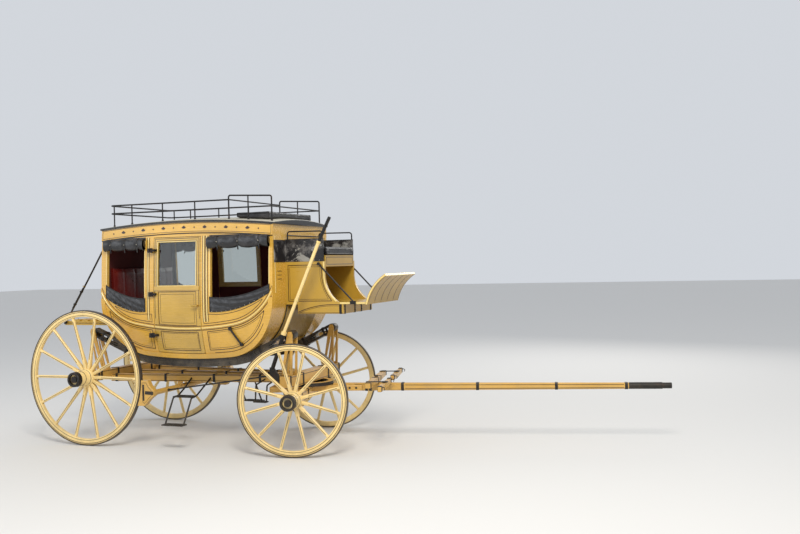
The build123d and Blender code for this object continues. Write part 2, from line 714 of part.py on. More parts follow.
# Front boot: side boards with a swept front edge, floor, seat deck and the beam below
BOOT_HALF = 375.0
BOARD = 25.0
BOOT_Z0 = 1470.0
BOOT_FLOOR = 22.0
BOOT_TOP = 1905.0
BOOT_LONG = 445.0
BOOT_FRONT = BX + HALF_LENGTH + BOOT_LONG
BOOT_BACK = 19.5
RISER = 60.0
DECK_Z = BOOT_TOP + RISER
DECK_THICK = 20.0
LINTEL_DEEP = 115.0
LINTEL_Z = DECK_Z - LINTEL_DEEP
FLOOR_LONG = 455.0
FLOOR_END = BOOT_FRONT + FLOOR_LONG
BEAM_DEEP = 95.0
BEAM_WIDE = 60.0
BEAM_SET = 135.0
BEAM_LONG = 505.0
BEAM_REAR = BX + HALF_LENGTH + BEAM_SET
BEAM_FRONT = BEAM_REAR + BEAM_LONG
boot_x0 = BX + HALF_LENGTH
seat_x = boot_x0 + 0.5
boot_floor_z = BOOT_Z0 + BOOT_FLOOR
inner_half = BOOT_HALF - BOARD
with BuildPart() as wing:
    with BuildSketch(Plane.XZ.offset(-inner_half)):
        with BuildLine():
            Line((boot_x0, boot_floor_z), (BOOT_FRONT + 142.0, boot_floor_z))
            ThreePointArc(
                (BOOT_FRONT + 142.0, boot_floor_z),
                (BOOT_FRONT + 42.0, boot_floor_z + 108.0),
                (BOOT_FRONT, BOOT_TOP - 125.0),
            )
            Line((BOOT_FRONT, BOOT_TOP - 125.0), (BOOT_FRONT, BOOT_TOP))
            Line((BOOT_FRONT, BOOT_TOP), (boot_x0, BOOT_TOP))
            Line((boot_x0, BOOT_TOP), (boot_x0, boot_floor_z))
        make_face()
    extrude(amount=-BOARD)
boot = wing.part + other_side(wing.part)
boot = boot + box(seat_x, FLOOR_END, -BOOT_HALF, BOOT_HALF, BOOT_Z0, boot_floor_z)
boot = boot + box(seat_x, seat_x + BOOT_BACK, -BOOT_HALF, BOOT_HALF, boot_floor_z, BOOT_TOP)
boot = boot + box(seat_x, seat_x + BOOT_BACK, -inner_half, inner_half, BOOT_TOP, DECK_Z)
boot = boot + box(seat_x, BOOT_FRONT, -inner_half, inner_half, DECK_Z - DECK_THICK, DECK_Z)
boot = boot + box(BOOT_FRONT - BOARD, BOOT_FRONT, -inner_half, inner_half, LINTEL_Z, DECK_Z)
beam_z0 = BOOT_Z0 - BEAM_DEEP
beam = box(BEAM_REAR, BEAM_FRONT, -BOOT_HALF, BOOT_HALF, beam_z0, BOOT_Z0)
beam_gap = box(
    BEAM_REAR + BEAM_WIDE,
    BEAM_FRONT - BEAM_WIDE,
    BEAM_WIDE - BOOT_HALF,
    BOOT_HALF - BEAM_WIDE,
    beam_z0 - 1.0,
    BOOT_Z0,
)
save(boot + (beam - beam_gap), "front_boot")

# Leather belly drawn over the body's front wall, under the boot floor
BELLY_PROUD = 34.0
BELLY_HALF = BOOT_HALF - 12.0
BELLY_FOOT = 1085.0
belly_zone = box(BX + 700.0, BEAM_REAR - GAP, -BELLY_HALF, BELLY_HALF, BELLY_FOOT, BOOT_Z0 - 0.5)
save((outline_slab(-BELLY_PROUD) - OUTLINE) & belly_zone, "boot_belly")

# Driver's seat: leather side and back panels round the deck, cushion and iron rail
SEAT_HALF = BOOT_HALF + 3.0
SEAT_HIGH = 225.0
SEAT_TOP = BOOT_TOP + SEAT_HIGH
SEAT_FRONT = BOOT_FRONT - 10.0
SEAT_PANEL = 18.0
SEAT_CUSHION = 85.0
RAIL_RISE = 80.0
SEAT_RAIL_R = 7.0
panel_half = SEAT_HALF - SEAT_PANEL
seat = box(seat_x, seat_x + BOOT_BACK, -panel_half, panel_half, DECK_Z, SEAT_TOP)
flap_half = half_width(SEAT_TOP) - 14.0
for s in (-1.0, 1.0):
    y0 = min(s * SEAT_HALF, s * panel_half)
    seat = seat + box(seat_x, SEAT_FRONT, y0, y0 + SEAT_PANEL, BOOT_TOP, SEAT_TOP)
    y0 = min(s * panel_half, s * flap_half)
    seat = seat + box(seat_x, seat_x + LEATHER, y0, y0 + flap_half - panel_half, BOOT_TOP, SEAT_TOP)
save(seat, "seat_box")
cushion_x0 = seat_x + BOOT_BACK + 1.0
cushion_half = panel_half - 2.0
cushion_z0 = DECK_Z + 0.5
cushion = box(cushion_x0, BOOT_FRONT + 25.0, -cushion_half, cushion_half, cushion_z0, DECK_Z + SEAT_CUSHION)
save(cushion, "driver_cushion")
rail_y = SEAT_HALF - SEAT_PANEL / 2.0
rail_x0 = seat_x + 30.0
rail_x1 = SEAT_FRONT - 12.0
seat_rail = rod((rail_x0, -rail_y, SEAT_TOP + 46.0), (rail_x0, rail_y, SEAT_TOP + 46.0), SEAT_RAIL_R - 0.5)
for s in (-1.0, 1.0):
    side_rail = bent_bar(
        (
            (rail_x0, s * rail_y, SEAT_TOP - 2.0),
            (rail_x0, s * rail_y, SEAT_TOP + RAIL_RISE + 5.0),
            (rail_x1, s * rail_y, SEAT_TOP + RAIL_RISE),
            (rail_x1, s * rail_y, SEAT_TOP - 2.0),
        ),
        SEAT_RAIL_R,
        28.0,
    )
    seat_rail = seat_rail + side_rail
save(seat_rail - seat, "seat_rail")

# Toe board: curved board of planks at the front of the footwell, and its two stays
TOE_HALF = 430.0
TOE_Z = 1765.0
TOE_RUN = 210.0
TOE_EDGE = 24.0
STAY_R = 8.0
STAY_HEAD = (BOOT_FRONT - 65.0, BOOT_TOP - 25.0)
STAY_FOOT = (FLOOR_END - 150.0, boot_floor_z + 8.0)
with BuildPart() as toe:
    with BuildSketch(Plane.XZ):
        with BuildLine():
            ThreePointArc((FLOOR_END, BOOT_Z0), (FLOOR_END + 75.0, 1640.0), (FLOOR_END + TOE_RUN, TOE_Z))
            Line((FLOOR_END + TOE_RUN, TOE_Z), (FLOOR_END + TOE_RUN + 14.0, TOE_Z - 21.0))
            ThreePointArc(
                (FLOOR_END + TOE_RUN + 14.0, TOE_Z - 21.0),
                (FLOOR_END + 96.0, 1626.0),
                (FLOOR_END + TOE_EDGE + 2.0, BOOT_Z0),
            )
            Line((FLOOR_END + TOE_EDGE + 2.0, BOOT_Z0), (FLOOR_END, BOOT_Z0))
        make_face()
    extrude(amount=TOE_HALF, both=True)
save(toe.part, "toe_board")
stay_y = BOOT_HALF + STAY_R + 1.0
stay_out = BOOT_HALF + 2.0 * STAY_R + 1.0
stay = rod((STAY_HEAD[0], stay_y, STAY_HEAD[1]), (STAY_FOOT[0], stay_y, STAY_FOOT[1]), STAY_R)
stay = stay + rod((STAY_HEAD[0], BOOT_HALF, STAY_HEAD[1]), (STAY_HEAD[0], stay_out, STAY_HEAD[1]), 14.0)
foot_x = STAY_FOOT[0]
stay = stay + box(foot_x - 30.0, foot_x + 30.0, BOOT_HALF, stay_out, BOOT_Z0, boot_floor_z + 10.0)
save(stay + other_side(stay), "boot_stays")

# Rear rack on its side rails, hung by leather straps from the roof
RACK_Z0 = 1255.0
RACK_Z1 = 1300.0
RACK_HALF = 425.0
RACK_SIDE = 48.0
RACK_END = AX - 570.0
RACK_ROOT = AX + 320.0
SLATS = 5
SLAT_PITCH = 110.0
SLAT_WIDE = 70.0
SLAT_RISE = 20.0
side_bar = box(RACK_END, RACK_ROOT, RACK_HALF - RACK_SIDE, RACK_HALF, RACK_Z0, RACK_Z1)
rack = side_bar + other_side(side_bar)
rack = rack + box(RACK_END, RACK_END + 50.0, -RACK_HALF, RACK_HALF, RACK_Z0, RACK_Z1)
for index in range(SLATS):
    x = RACK_END + 130.0 + SLAT_PITCH * index
    rack = rack + box(x, x + SLAT_WIDE, -RACK_HALF, RACK_HALF, RACK_Z1 - 2.0, RACK_Z1 + SLAT_RISE)
save(rack - OUTLINE, "rear_rack")
STRAP_R = 11.0
STRAP_Z = 2290.0
strap_x = BX - HALF_LENGTH
strap_y = RACK_HALF + STRAP_R + 3.0
strap_foot = (RACK_END + 25.0, RACK_Z1 - 20.0)
strap = rod((strap_x - 9.0, strap_y, STRAP_Z), (strap_foot[0], strap_y, strap_foot[1]), STRAP_R)
foot_x, foot_z = strap_foot
strap = strap + rod((foot_x, RACK_HALF, foot_z), (foot_x, RACK_HALF + 24.0, foot_z), 16.0)
strap = strap + box(strap_x - 22.0, strap_x, strap_y - 14.0, strap_y + 14.0, STRAP_Z - 28.0, STRAP_Z)
roof_block = roof_front + roof_rear
save((strap + other_side(strap)) - OUTLINE - roof_block, "rack_straps")

# Roof rail: round iron posts, hoops behind and a raised rail round the forward seat
RAIL_Y = 548.0
RAIL_TOP = 2560.0
RAIL_MID = 2474.0
RAIL_R = 8.0
SEAT_RAIL_Z = 2604.0
SEAT_RAIL_DROP = 24.0
POST_R = 7.0
POST_SINK = 30.0
RAIL_BEND = 60.0
STEP_BEND = 20.0
RAIL_REAR = AX + 180.0
RAIL_STEP = AX + 1668.0
HIGH_REAR = AX + 1895.0
HIGH_FRONT = AX + 2165.0
LOW_POSTS = (RAIL_REAR + RAIL_BEND, AX + 470.0, AX + 860.0, AX + 1260.0)


def seat_rail_z(x):
    """Height of the raised rail, which falls a little toward the front."""
    return SEAT_RAIL_Z - SEAT_RAIL_DROP * (x - RAIL_STEP) / (HIGH_FRONT - RAIL_STEP)


post_tops = [(x, RAIL_TOP) for x in LOW_POSTS]
post_tops.append((HIGH_REAR, seat_rail_z(HIGH_REAR)))
roof_rail = None
for s in (-1.0, 1.0):
    for x, top in post_tops:
        post = rod((x, s * RAIL_Y, roof_top(x, RAIL_Y) - POST_SINK), (x, s * RAIL_Y, top), POST_R)
        roof_rail = post if roof_rail is None else roof_rail + post
    raised = bent_bar(
        (
            (RAIL_STEP, s * RAIL_Y, roof_top(RAIL_STEP, RAIL_Y) - POST_SINK),
            (RAIL_STEP, s * RAIL_Y, SEAT_RAIL_Z),
            (HIGH_FRONT, s * RAIL_Y, seat_rail_z(HIGH_FRONT)),
            (HIGH_FRONT, s * RAIL_Y, roof_top(HIGH_FRONT, RAIL_Y) - POST_SINK),
        ),
        RAIL_R,
        STEP_BEND,
    )
    roof_rail = roof_rail + raised
    rail_y_side = s * RAIL_Y
    mid_rail = rod((RAIL_STEP, rail_y_side, RAIL_MID), (HIGH_FRONT, rail_y_side, RAIL_MID), RAIL_R - 1.0)
    roof_rail = roof_rail + mid_rail
for z in (RAIL_TOP, RAIL_MID):
    hoop = bent_bar(
        (
            (RAIL_STEP, -RAIL_Y, z),
            (RAIL_REAR, -RAIL_Y, z),
            (RAIL_REAR, RAIL_Y, z),
            (RAIL_STEP, RAIL_Y, z),
        ),
        RAIL_R,
        RAIL_BEND,
    )
    roof_rail = roof_rail + hoop
for x, z in ((RAIL_STEP, RAIL_TOP), (HIGH_FRONT, RAIL_MID)):
    roof_rail = roof_rail + rod((x, -RAIL_Y, z), (x, RAIL_Y, z), RAIL_R - 1.0)
save(roof_rail - roof_block, "roof_rail")

# Roof seat cushion behind the driver
PAD_X0 = AX + 1700.0
PAD_X1 = AX + 2110.0
PAD_HALF = 500.0
PAD_TOP = 2428.0
PAD_SINK = 12.0
pad = box(PAD_X0, PAD_X1, -PAD_HALF, PAD_HALF, ROOF_Z - PAD_SINK, PAD_TOP)
save(pad - roof_block, "roof_cushion")

# Brake: beam with two shoes ahead of the rear wheels, hand lever and pull rod
SHOE_GAP = 14.0
SHOE_HALF = 30.0
BEAM_R = 28.0
SHOE_BACK = 124.0
HANGER = 40.0
HANGER_DROP = 55.0
BRAKE_X = AX + REAR_RADIUS + SHOE_GAP + SHOE_BACK
BRAKE_Z = PERCH_Z0 - HANGER_DROP
shoe_line = (
    (BRAKE_X - 260.0, BRAKE_Z - 135.0),
    (BRAKE_X - 90.0, BRAKE_Z - 135.0),
    (BRAKE_X - 25.0, BRAKE_Z - 65.0),
    (BRAKE_X + 30.0, BRAKE_Z - 25.0),
    (BRAKE_X + 30.0, BRAKE_Z + 27.0),
    (BRAKE_X - 20.0, BRAKE_Z + 75.0),
    (BRAKE_X - 45.0, BRAKE_Z + 130.0),
    (BRAKE_X - 260.0, BRAKE_Z + 130.0),
)
wheel_y = TRACK / 2.0
brake = rod((BRAKE_X, SHOE_HALF - wheel_y, BRAKE_Z), (BRAKE_X, wheel_y - SHOE_HALF, BRAKE_Z), BEAM_R)
clear_half = wheel_y + 100.0
wheel_clear = rod((AX, -clear_half, REAR_RADIUS), (AX, clear_half, REAR_RADIUS), REAR_RADIUS + SHOE_GAP)
for s in (-1.0, 1.0):
    brake = brake + (prism(shoe_line, s * wheel_y - SHOE_HALF, s * wheel_y + SHOE_HALF) - wheel_clear)
    hang_y = perch_y(BRAKE_X, s)
    brake = brake + box(
        BRAKE_X - HANGER / 2.0,
        BRAKE_X + HANGER / 2.0,
        hang_y - HANGER / 2.0,
        hang_y + HANGER / 2.0,
        BRAKE_Z,
        PERCH_Z0,
    )
save(brake, "brake_beam")

# Lever: wooden pole in an iron collar, iron foot pinned to a bracket on the bolster
LEVER_Y = -588.0
LEVER_FOOT = (AX + 2150.0, 830.0)
LEVER_COLLAR = (AX + 2290.0, 1194.0)
LEVER_GRIP = (AX + 2702.0, 2104.0)
GRIP_RUN = 120.0
GRIP_RISE = 231.0
LEVER_TOP = (LEVER_GRIP[0] + GRIP_RUN, LEVER_GRIP[1] + GRIP_RISE)
FOOT_R = 20.0
POLE_R = 18.0
GRIP_R = 15.0
COLLAR_R = 28.0
COLLAR_HALF = 14.0
PULL_Y = LEVER_Y + 24.0
PULL_R = 8.0
PULL_END = (AX + 2135.0, 765.0)
lever = rod((LEVER_FOOT[0], LEVER_Y, LEVER_FOOT[1]), (LEVER_COLLAR[0], LEVER_Y, LEVER_COLLAR[1]), FOOT_R)
lever_pole = rod((LEVER_COLLAR[0], LEVER_Y, LEVER_COLLAR[1]), (LEVER_GRIP[0], LEVER_Y, LEVER_GRIP[1]), POLE_R)
lever = lever + lever_pole
lever = lever + rod((LEVER_GRIP[0], LEVER_Y, LEVER_GRIP[1]), (LEVER_TOP[0], LEVER_Y, LEVER_TOP[1]), GRIP_R)
lever = lever + rod(
    (LEVER_COLLAR[0] - 6.0, LEVER_Y, LEVER_COLLAR[1] - COLLAR_HALF),
    (LEVER_COLLAR[0] + 6.0, LEVER_Y, LEVER_COLLAR[1] + COLLAR_HALF),
    COLLAR_R,
)
bracket_line = (
    (LEVER_FOOT[0] - 30.0, LEVER_FOOT[1] - 90.0),
    (KX - BOLSTER_HALF, BOLSTER_Z0 + 15.0),
    (KX - BOLSTER_HALF, BOLSTER_Z1 - 5.0),
    (LEVER_FOOT[0] + 20.0, LEVER_FOOT[1] + 20.0),
    (LEVER_FOOT[0] - 25.0, LEVER_FOOT[1] + 20.0),
)
lever = lever + prism(bracket_line, LEVER_Y - 10.0, LEVER_Y + 10.0)
pull = rod((BRAKE_X + BEAM_R + 1.0, PULL_Y, BRAKE_Z), (PULL_END[0], PULL_Y, PULL_END[1]), PULL_R)
pull = pull + rod((PULL_END[0], LEVER_Y + 9.0, PULL_END[1]), (PULL_END[0], PULL_Y + 10.0, PULL_END[1]), 12.0)
pull = pull + rod((BRAKE_X + BEAM_R, PULL_Y, BRAKE_Z), (BRAKE_X + BEAM_R + 12.0, PULL_Y, BRAKE_Z), 14.0)
save(lever + (pull - brake), "brake_lever")

# Iron steps hung from the side perches: two treads under the door, a stirrup ahead
STEP_REAR = AX + 1010.0
STEP_FRONT = AX + 1230.0
UPPER_TREAD = (560.0, 660.0, 524.0)
LOWER_TREAD = (760.0, 850.0, 262.0)
STIRRUP_REAR = AX + 1850.0
STIRRUP_FRONT = AX + 1980.0
STIRRUP_TREAD = (390.0, 450.0, 464.0)
TREAD_THICK = 12.0
TREAD_LAP = 14.0
STEP_R = 9.0
STIRRUP_R = 8.0
step = None
for x in (STEP_REAR, STEP_FRONT):
    leg = bent_bar(
        (
            (x, perch_y(x, 1.0) + 20.0, PERCH_Z0 + 42.0),
            (x, 430.0, UPPER_TREAD[2] + 76.0),
            (x, UPPER_TREAD[0], UPPER_TREAD[2] + 6.0),
            (x, UPPER_TREAD[1] - 10.0, UPPER_TREAD[2] - 4.0),
            (x, LOWER_TREAD[0] + 40.0, LOWER_TREAD[2] + 6.0),
        ),
        STEP_R,
        24.0,
    )
    step = leg if step is None else step + leg
for x in (STIRRUP_REAR, STIRRUP_FRONT):
    leg = bent_bar(
        (
            (x, perch_y(x, 1.0) + 20.0, PERCH_Z0 + 36.0),
            (x, STIRRUP_TREAD[0] + 10.0, PERCH_Z0),
            (x, STIRRUP_TREAD[0] + 30.0, STIRRUP_TREAD[2] + 6.0),
        ),
        STIRRUP_R,
        22.0,
    )
    step = step + leg
treads = (
    (STEP_REAR, STEP_FRONT, 0.0, UPPER_TREAD),
    (STEP_REAR, STEP_FRONT, TREAD_LAP, LOWER_TREAD),
    (STIRRUP_REAR, STIRRUP_FRONT, STIRRUP_R, STIRRUP_TREAD),
)
for rear, front, lap, (y0, y1, z) in treads:
    step = step + box(rear - lap, front + lap, y0, y1, z, z + TREAD_THICK)
save_pair(step - perches, "steps")

# Wheels: turned hub, fourteen or twelve spokes dished outward, felloes, iron tyre
REAR_SPOKES = 14
FRONT_SPOKES = 12
RIM_DEEP = 58.0
FRONT_RIM_DEEP = 54.0
RIM_EASE = 6.0
HUB_SEAT = 92.0
HUB_NECK = 66.0
HUB_MOUTH = 76.0
MOUTH_BORE = 52.0
SPOKE_FOOT = (31.0, 52.0)
SPOKE_TIP = (26.0, 30.0)
SPOKE_EASE = 8.0


def wheel_solids(radius, rim_deep, spokes):
    """A dished wheel about the Y axis, its outer side toward -Y."""
    rim_out = radius - TYRE_THICK
    rim_in = rim_out - rim_deep
    rim_half = TYRE_WIDTH / 2.0
    recess = HUB_FRONT - NUT_RECESS
    with BuildPart() as wheel:
        with BuildSketch(Plane.YZ):
            with BuildLine():
                Polyline(
                    (HUB_BACK, BORE_RADIUS),
                    (HUB_BACK, HUB_NECK - 4.0),
                    (HUB_BACK - 20.0, HUB_NECK),
                    (DISH + 50.0, HUB_SEAT - 8.0),
                    (DISH + 38.0, HUB_SEAT),
                    (DISH - 38.0, HUB_SEAT),
                    (DISH - 50.0, HUB_SEAT - 6.0),
                    (-90.0, HUB_NECK + 4.0),
                    (44.0 - HUB_FRONT, HUB_NECK),
                    (42.0 - HUB_FRONT, HUB_MOUTH + 4.0),
                    (-HUB_FRONT, HUB_MOUTH),
                    (-HUB_FRONT, MOUTH_BORE),
                    (-recess, MOUTH_BORE),
                    (-recess, BORE_RADIUS),
                    close=True,
                )
            make_face()
            with BuildLine():
                Polyline(
                    (-rim_half, rim_out),
                    (rim_half, rim_out),
                    (rim_half, rim_in + RIM_EASE),
                    (rim_half - RIM_EASE, rim_in),
                    (-rim_half + RIM_EASE, rim_in),
                    (-rim_half, rim_in + RIM_EASE),
                    close=True,
                )
            make_face()
        revolve(axis=Axis.Y)
    with BuildPart() as spoke:
        foot_plane = Plane(origin=(0.0, DISH, HUB_SEAT - 6.0), x_dir=(1, 0, 0), z_dir=(0, 0, 1))
        with BuildSketch(foot_plane) as foot:
            Rectangle(*SPOKE_FOOT)
            chamfer(foot.vertices(), SPOKE_EASE)
        with BuildSketch(Plane(origin=(0.0, 0.0, rim_in + 4.0), x_dir=(1, 0, 0), z_dir=(0, 0, 1))) as tip:
            Rectangle(*SPOKE_TIP)
            chamfer(tip.vertices(), SPOKE_EASE)
        loft()
    body = wheel.part
    for index in range(spokes):
        body = body + Rot(0.0, 360.0 * (index + 0.5) / spokes, 0.0) * spoke.part
    with BuildPart() as tyre:
        with BuildSketch(Plane.YZ):
            with Locations((0.0, radius - TYRE_THICK / 2.0)):
                Rectangle(TYRE_WIDTH, TYRE_THICK)
        revolve(axis=Axis.Y)
    return body, tyre.part


rear_wheel, rear_tyre = wheel_solids(REAR_RADIUS, RIM_DEEP, REAR_SPOKES)
front_wheel, front_tyre = wheel_solids(FRONT_RADIUS, FRONT_RIM_DEEP, FRONT_SPOKES)
FRONT_TURN = Location((KX, 0.0, 0.0), (0.0, 0.0, STEER_REST))
SIDES = (("right", -1.0), ("left", 1.0))
for side, s in SIDES:
    face = 0.0 if s < 0.0 else 180.0
    seat_rear = Location((AX, s * wheel_y, REAR_RADIUS), (0.0, 0.0, face))
    save(seat_rear * rear_wheel, "wheel_rear_" + side)
    save(seat_rear * rear_tyre, "tyre_rear_" + side)
    seat_front = FRONT_TURN * Location((0.0, s * wheel_y, FRONT_RADIUS), (0.0, 0.0, face))
    save(seat_front * front_wheel, "wheel_front_" + side)
    save(seat_front * front_tyre, "tyre_front_" + side)

# Front carriage, built straight about the king bolt and then turned to rest
BED_Z0 = FRONT_RADIUS - BED_RISE
BED_Z1 = FRONT_RADIUS + BED_RISE
FRONT_BED_HALF = 48.0
HOUND_Z = 548.0
HOUND_DEEP = 56.0
HOUND_WIDE = 48.0
HOUND_REAR = -380.0
HOUND_FRONT = 560.0
JAW_X = 250.0
JAW_Y = 44.0
TAIL_Y = 188.0
TAIL_HALF = 215.0
TAIL_WIDE = 46.0
king_bore = rod((0.0, 0.0, KING_FOOT - 90.0), (0.0, 0.0, PLATE_Z + 72.0), KING_RADIUS + KING_SLACK)
hounds = None
for s in (-1.0, 1.0):
    with BuildPart() as hound:
        with BuildSketch(Plane.XY.offset(HOUND_Z)):
            with BuildLine():
                Polyline(
                    (HOUND_REAR, s * (TAIL_Y + HOUND_WIDE)),
                    (0.0, s * 150.0),
                    (JAW_X, s * (JAW_Y + HOUND_WIDE)),
                    (HOUND_FRONT, s * (JAW_Y + HOUND_WIDE)),
                    (HOUND_FRONT, s * JAW_Y),
                    (JAW_X, s * JAW_Y),
                    (0.0, s * 100.0),
                    (HOUND_REAR, s * TAIL_Y),
                    close=True,
                )
            make_face()
        extrude(amount=HOUND_DEEP)
    hounds = hound.part if hounds is None else hounds + hound.part
tail_x0 = HOUND_REAR - 18.0
hounds = hounds + box(tail_x0, tail_x0 + TAIL_WIDE, -TAIL_HALF, TAIL_HALF, HOUND_Z, HOUND_Z + HOUND_DEEP)
hounds = hounds - king_bore
front_bed = box(-FRONT_BED_HALF, FRONT_BED_HALF, -BED_REACH, BED_REACH, BED_Z0, BED_Z1)
front_bed = axle_arms(front_bed, 0.0, FRONT_RADIUS) - hounds - king_bore
save(FRONT_TURN * front_bed, "front_axle")
with BuildPart() as turn_plate:
    with BuildSketch(Plane.XY.offset(BED_Z1)):
        Circle(RING_OUT)
        Circle(RING_IN, mode=Mode.SUBTRACT)
    extrude(amount=PLATE_Z - BED_Z1)
save(FRONT_TURN * (hounds + turn_plate.part), "hounds")

# Pole with its iron tip, pinned between the hounds
POLE_Z = 578.0
HEEL_SIZE = (2.0 * JAW_Y, 80.0)
HEEL_EASE = 10.0
NOSE_SIZE = (62.0, 62.0)
NOSE_EASE = 16.0
TIP_RUN = 420.0
TIP_NOSE = 90.0
SOCKET_R = 34.0
EVENER_X = 700.0
BAR_Z0 = 632.0
BAR_Z1 = 682.0
EVENER_BOLT = 11.0
BAR_SLACK = 0.5
with BuildPart() as pole:
    with BuildSketch(Plane.YZ.offset(JAW_X - 5.0)) as heel:
        with Locations((0.0, POLE_Z)):
            Rectangle(*HEEL_SIZE)
        chamfer(heel.vertices(), HEEL_EASE)
    with BuildSketch(Plane.YZ.offset(POLE_REACH - TIP_RUN)) as nose:
        with Locations((0.0, POLE_Z)):
            Rectangle(*NOSE_SIZE)
        chamfer(nose.vertices(), NOSE_EASE)
    loft()
pole_part = pole.part
pole_part = pole_part + rod((EVENER_X, 0.0, POLE_Z), (EVENER_X, 0.0, BAR_Z0 - BAR_SLACK), 42.0)
pole_part = pole_part + rod((EVENER_X, 0.0, POLE_Z), (EVENER_X, 0.0, BAR_Z1 + 14.0), EVENER_BOLT)
pole_part = pole_part + rod((EVENER_X, 0.0, BAR_Z1 + BAR_SLACK), (EVENER_X, 0.0, BAR_Z1 + 14.0), 20.0)
save(FRONT_TURN * pole_part, "pole")
with BuildPart() as tip:
    with BuildSketch(Plane.YZ.offset(POLE_REACH - TIP_RUN)):
        with Locations((0.0, POLE_Z)):
            Circle(SOCKET_R)
    extrude(amount=TIP_RUN - TIP_NOSE)
    with BuildSketch(Plane.YZ.offset(POLE_REACH - TIP_NOSE)):
        with Locations((0.0, POLE_Z)):
            Circle(POLE_TIP_RADIUS)
    extrude(amount=TIP_NOSE)
save(FRONT_TURN * tip.part, "pole_tip")

# Evener on the pole and the two singletrees ahead of it
EVENER_HALF = 520.0
TREE_Y = 420.0
TREE_X = EVENER_X + 155.0
TREE_HALF = 325.0
TREE_PIN = 9.0
CLIP = 8.0


def tapered_bar(x, y, half, end_half, mid_half, bore):
    """A wooden bar across the pole, thickest over its bolt hole."""
    with BuildPart() as bar:
        with BuildSketch(Plane.XY.offset(BAR_Z0)):
            with BuildLine():
                Polyline(
                    (x - end_half, y - half),
                    (x + end_half, y - half),
                    (x + mid_half, y),
                    (x + end_half, y + half),
                    (x - end_half, y + half),
                    (x - mid_half, y),
                    close=True,
                )
            make_face()
            with Locations((x, y)):
                Circle(bore, mode=Mode.SUBTRACT)
        extrude(amount=BAR_Z1 - BAR_Z0 - BAR_SLACK)
    return bar.part


evener = tapered_bar(EVENER_X, 0.0, EVENER_HALF, 26.0, 38.0, EVENER_BOLT + BAR_SLACK)
for s in (-1.0, 1.0):
    y = s * TREE_Y
    clip_z = BAR_Z1 - BAR_SLACK
    clip = box(EVENER_X - 34.0, TREE_X - 30.0, y - 14.0, y + 14.0, clip_z, clip_z + CLIP)
    clip = clip + rod((TREE_X, y, clip_z), (TREE_X, y, clip_z + CLIP), 34.0)
    clip = clip + rod((TREE_X, y, BAR_Z0 - 12.0), (TREE_X, y, clip_z + CLIP), TREE_PIN)
    clip = clip + rod((TREE_X, y, BAR_Z0 - 12.0), (TREE_X, y, BAR_Z0 - BAR_SLACK), 20.0)
    evener = evener + clip
save(FRONT_TURN * evener, "evener")
tree_room = box(EVENER_X, TREE_X + 100.0, -900.0, 900.0, BAR_Z0 - 20.0, BAR_Z1 - 5.0)
for side, s in SIDES:
    tree = tapered_bar(TREE_X, s * TREE_Y, TREE_HALF, 18.0, 27.0, TREE_PIN + BAR_SLACK) & tree_room
    save(FRONT_TURN * tree, "singletree_" + side)
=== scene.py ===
import json
import math

import bmesh
import bpy
import numpy as np
from mathutils import Matrix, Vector
from mathutils.bvhtree import BVHTree

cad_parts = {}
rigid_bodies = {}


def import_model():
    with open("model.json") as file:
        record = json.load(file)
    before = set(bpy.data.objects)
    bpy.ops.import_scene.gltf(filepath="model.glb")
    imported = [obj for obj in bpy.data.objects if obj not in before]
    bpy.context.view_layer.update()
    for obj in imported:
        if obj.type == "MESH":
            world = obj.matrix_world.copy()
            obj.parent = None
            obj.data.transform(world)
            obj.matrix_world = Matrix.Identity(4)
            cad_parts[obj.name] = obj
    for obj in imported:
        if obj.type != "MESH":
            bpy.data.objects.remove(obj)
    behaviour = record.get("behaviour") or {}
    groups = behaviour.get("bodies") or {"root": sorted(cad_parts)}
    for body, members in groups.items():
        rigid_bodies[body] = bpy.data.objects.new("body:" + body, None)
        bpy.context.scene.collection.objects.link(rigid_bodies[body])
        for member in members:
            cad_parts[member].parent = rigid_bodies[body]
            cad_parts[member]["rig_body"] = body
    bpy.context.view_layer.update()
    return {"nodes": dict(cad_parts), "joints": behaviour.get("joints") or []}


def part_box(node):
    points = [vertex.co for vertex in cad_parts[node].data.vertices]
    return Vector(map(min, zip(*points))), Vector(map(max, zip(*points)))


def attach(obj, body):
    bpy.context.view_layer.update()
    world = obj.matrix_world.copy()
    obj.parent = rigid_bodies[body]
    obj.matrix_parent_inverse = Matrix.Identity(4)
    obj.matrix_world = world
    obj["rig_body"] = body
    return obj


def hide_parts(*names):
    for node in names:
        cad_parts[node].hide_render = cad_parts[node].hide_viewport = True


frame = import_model()


# Axle beds and iron arms
# Ash beds hewn square, painted straw yellow, with forged iron arms let into
# their ends. The wheels run on the arms and a square nut holds each one on.

def node(tree, kind, inputs=None, **settings):
    """One shader node: settings are its properties, inputs its values or the sockets linked to them."""
    made = tree.nodes.new(kind)
    for key, value in settings.items():
        setattr(made, key, value)
    for key, value in (inputs or {}).items():
        socket = made.inputs[key]
        if isinstance(value, bpy.types.NodeSocket):
            tree.links.new(value, socket)
        else:
            socket.default_value = value
    return made


def own_space(tree):
    """Places in a piece's own space."""
    return node(tree, "ShaderNodeTexCoord").outputs["Object"]


def noise(tree, place, inputs):
    """Noise over a piece's own space."""
    return node(tree, "ShaderNodeTexNoise", {"Vector": place, **inputs})


def ranged(tree, value, low, high, to_low=0.0, to_high=1.0):
    """A value between low and high stretched to run from to_low to to_high, and held there beyond."""
    spans = {"From Min": low, "From Max": high, "To Min": to_low, "To Max": to_high}
    return node(tree, "ShaderNodeMapRange", {"Value": value, **spans})


def maths(tree, operation, *values, **settings):
    """One sum on two or three values or sockets."""
    return node(tree, "ShaderNodeMath", dict(enumerate(values)), operation=operation, **settings)


def blend(tree, share, first, second):
    """One colour shading into another by share."""
    return node(tree, "ShaderNodeMix", {"Factor": share, 6: first, 7: second}, data_type="RGBA")


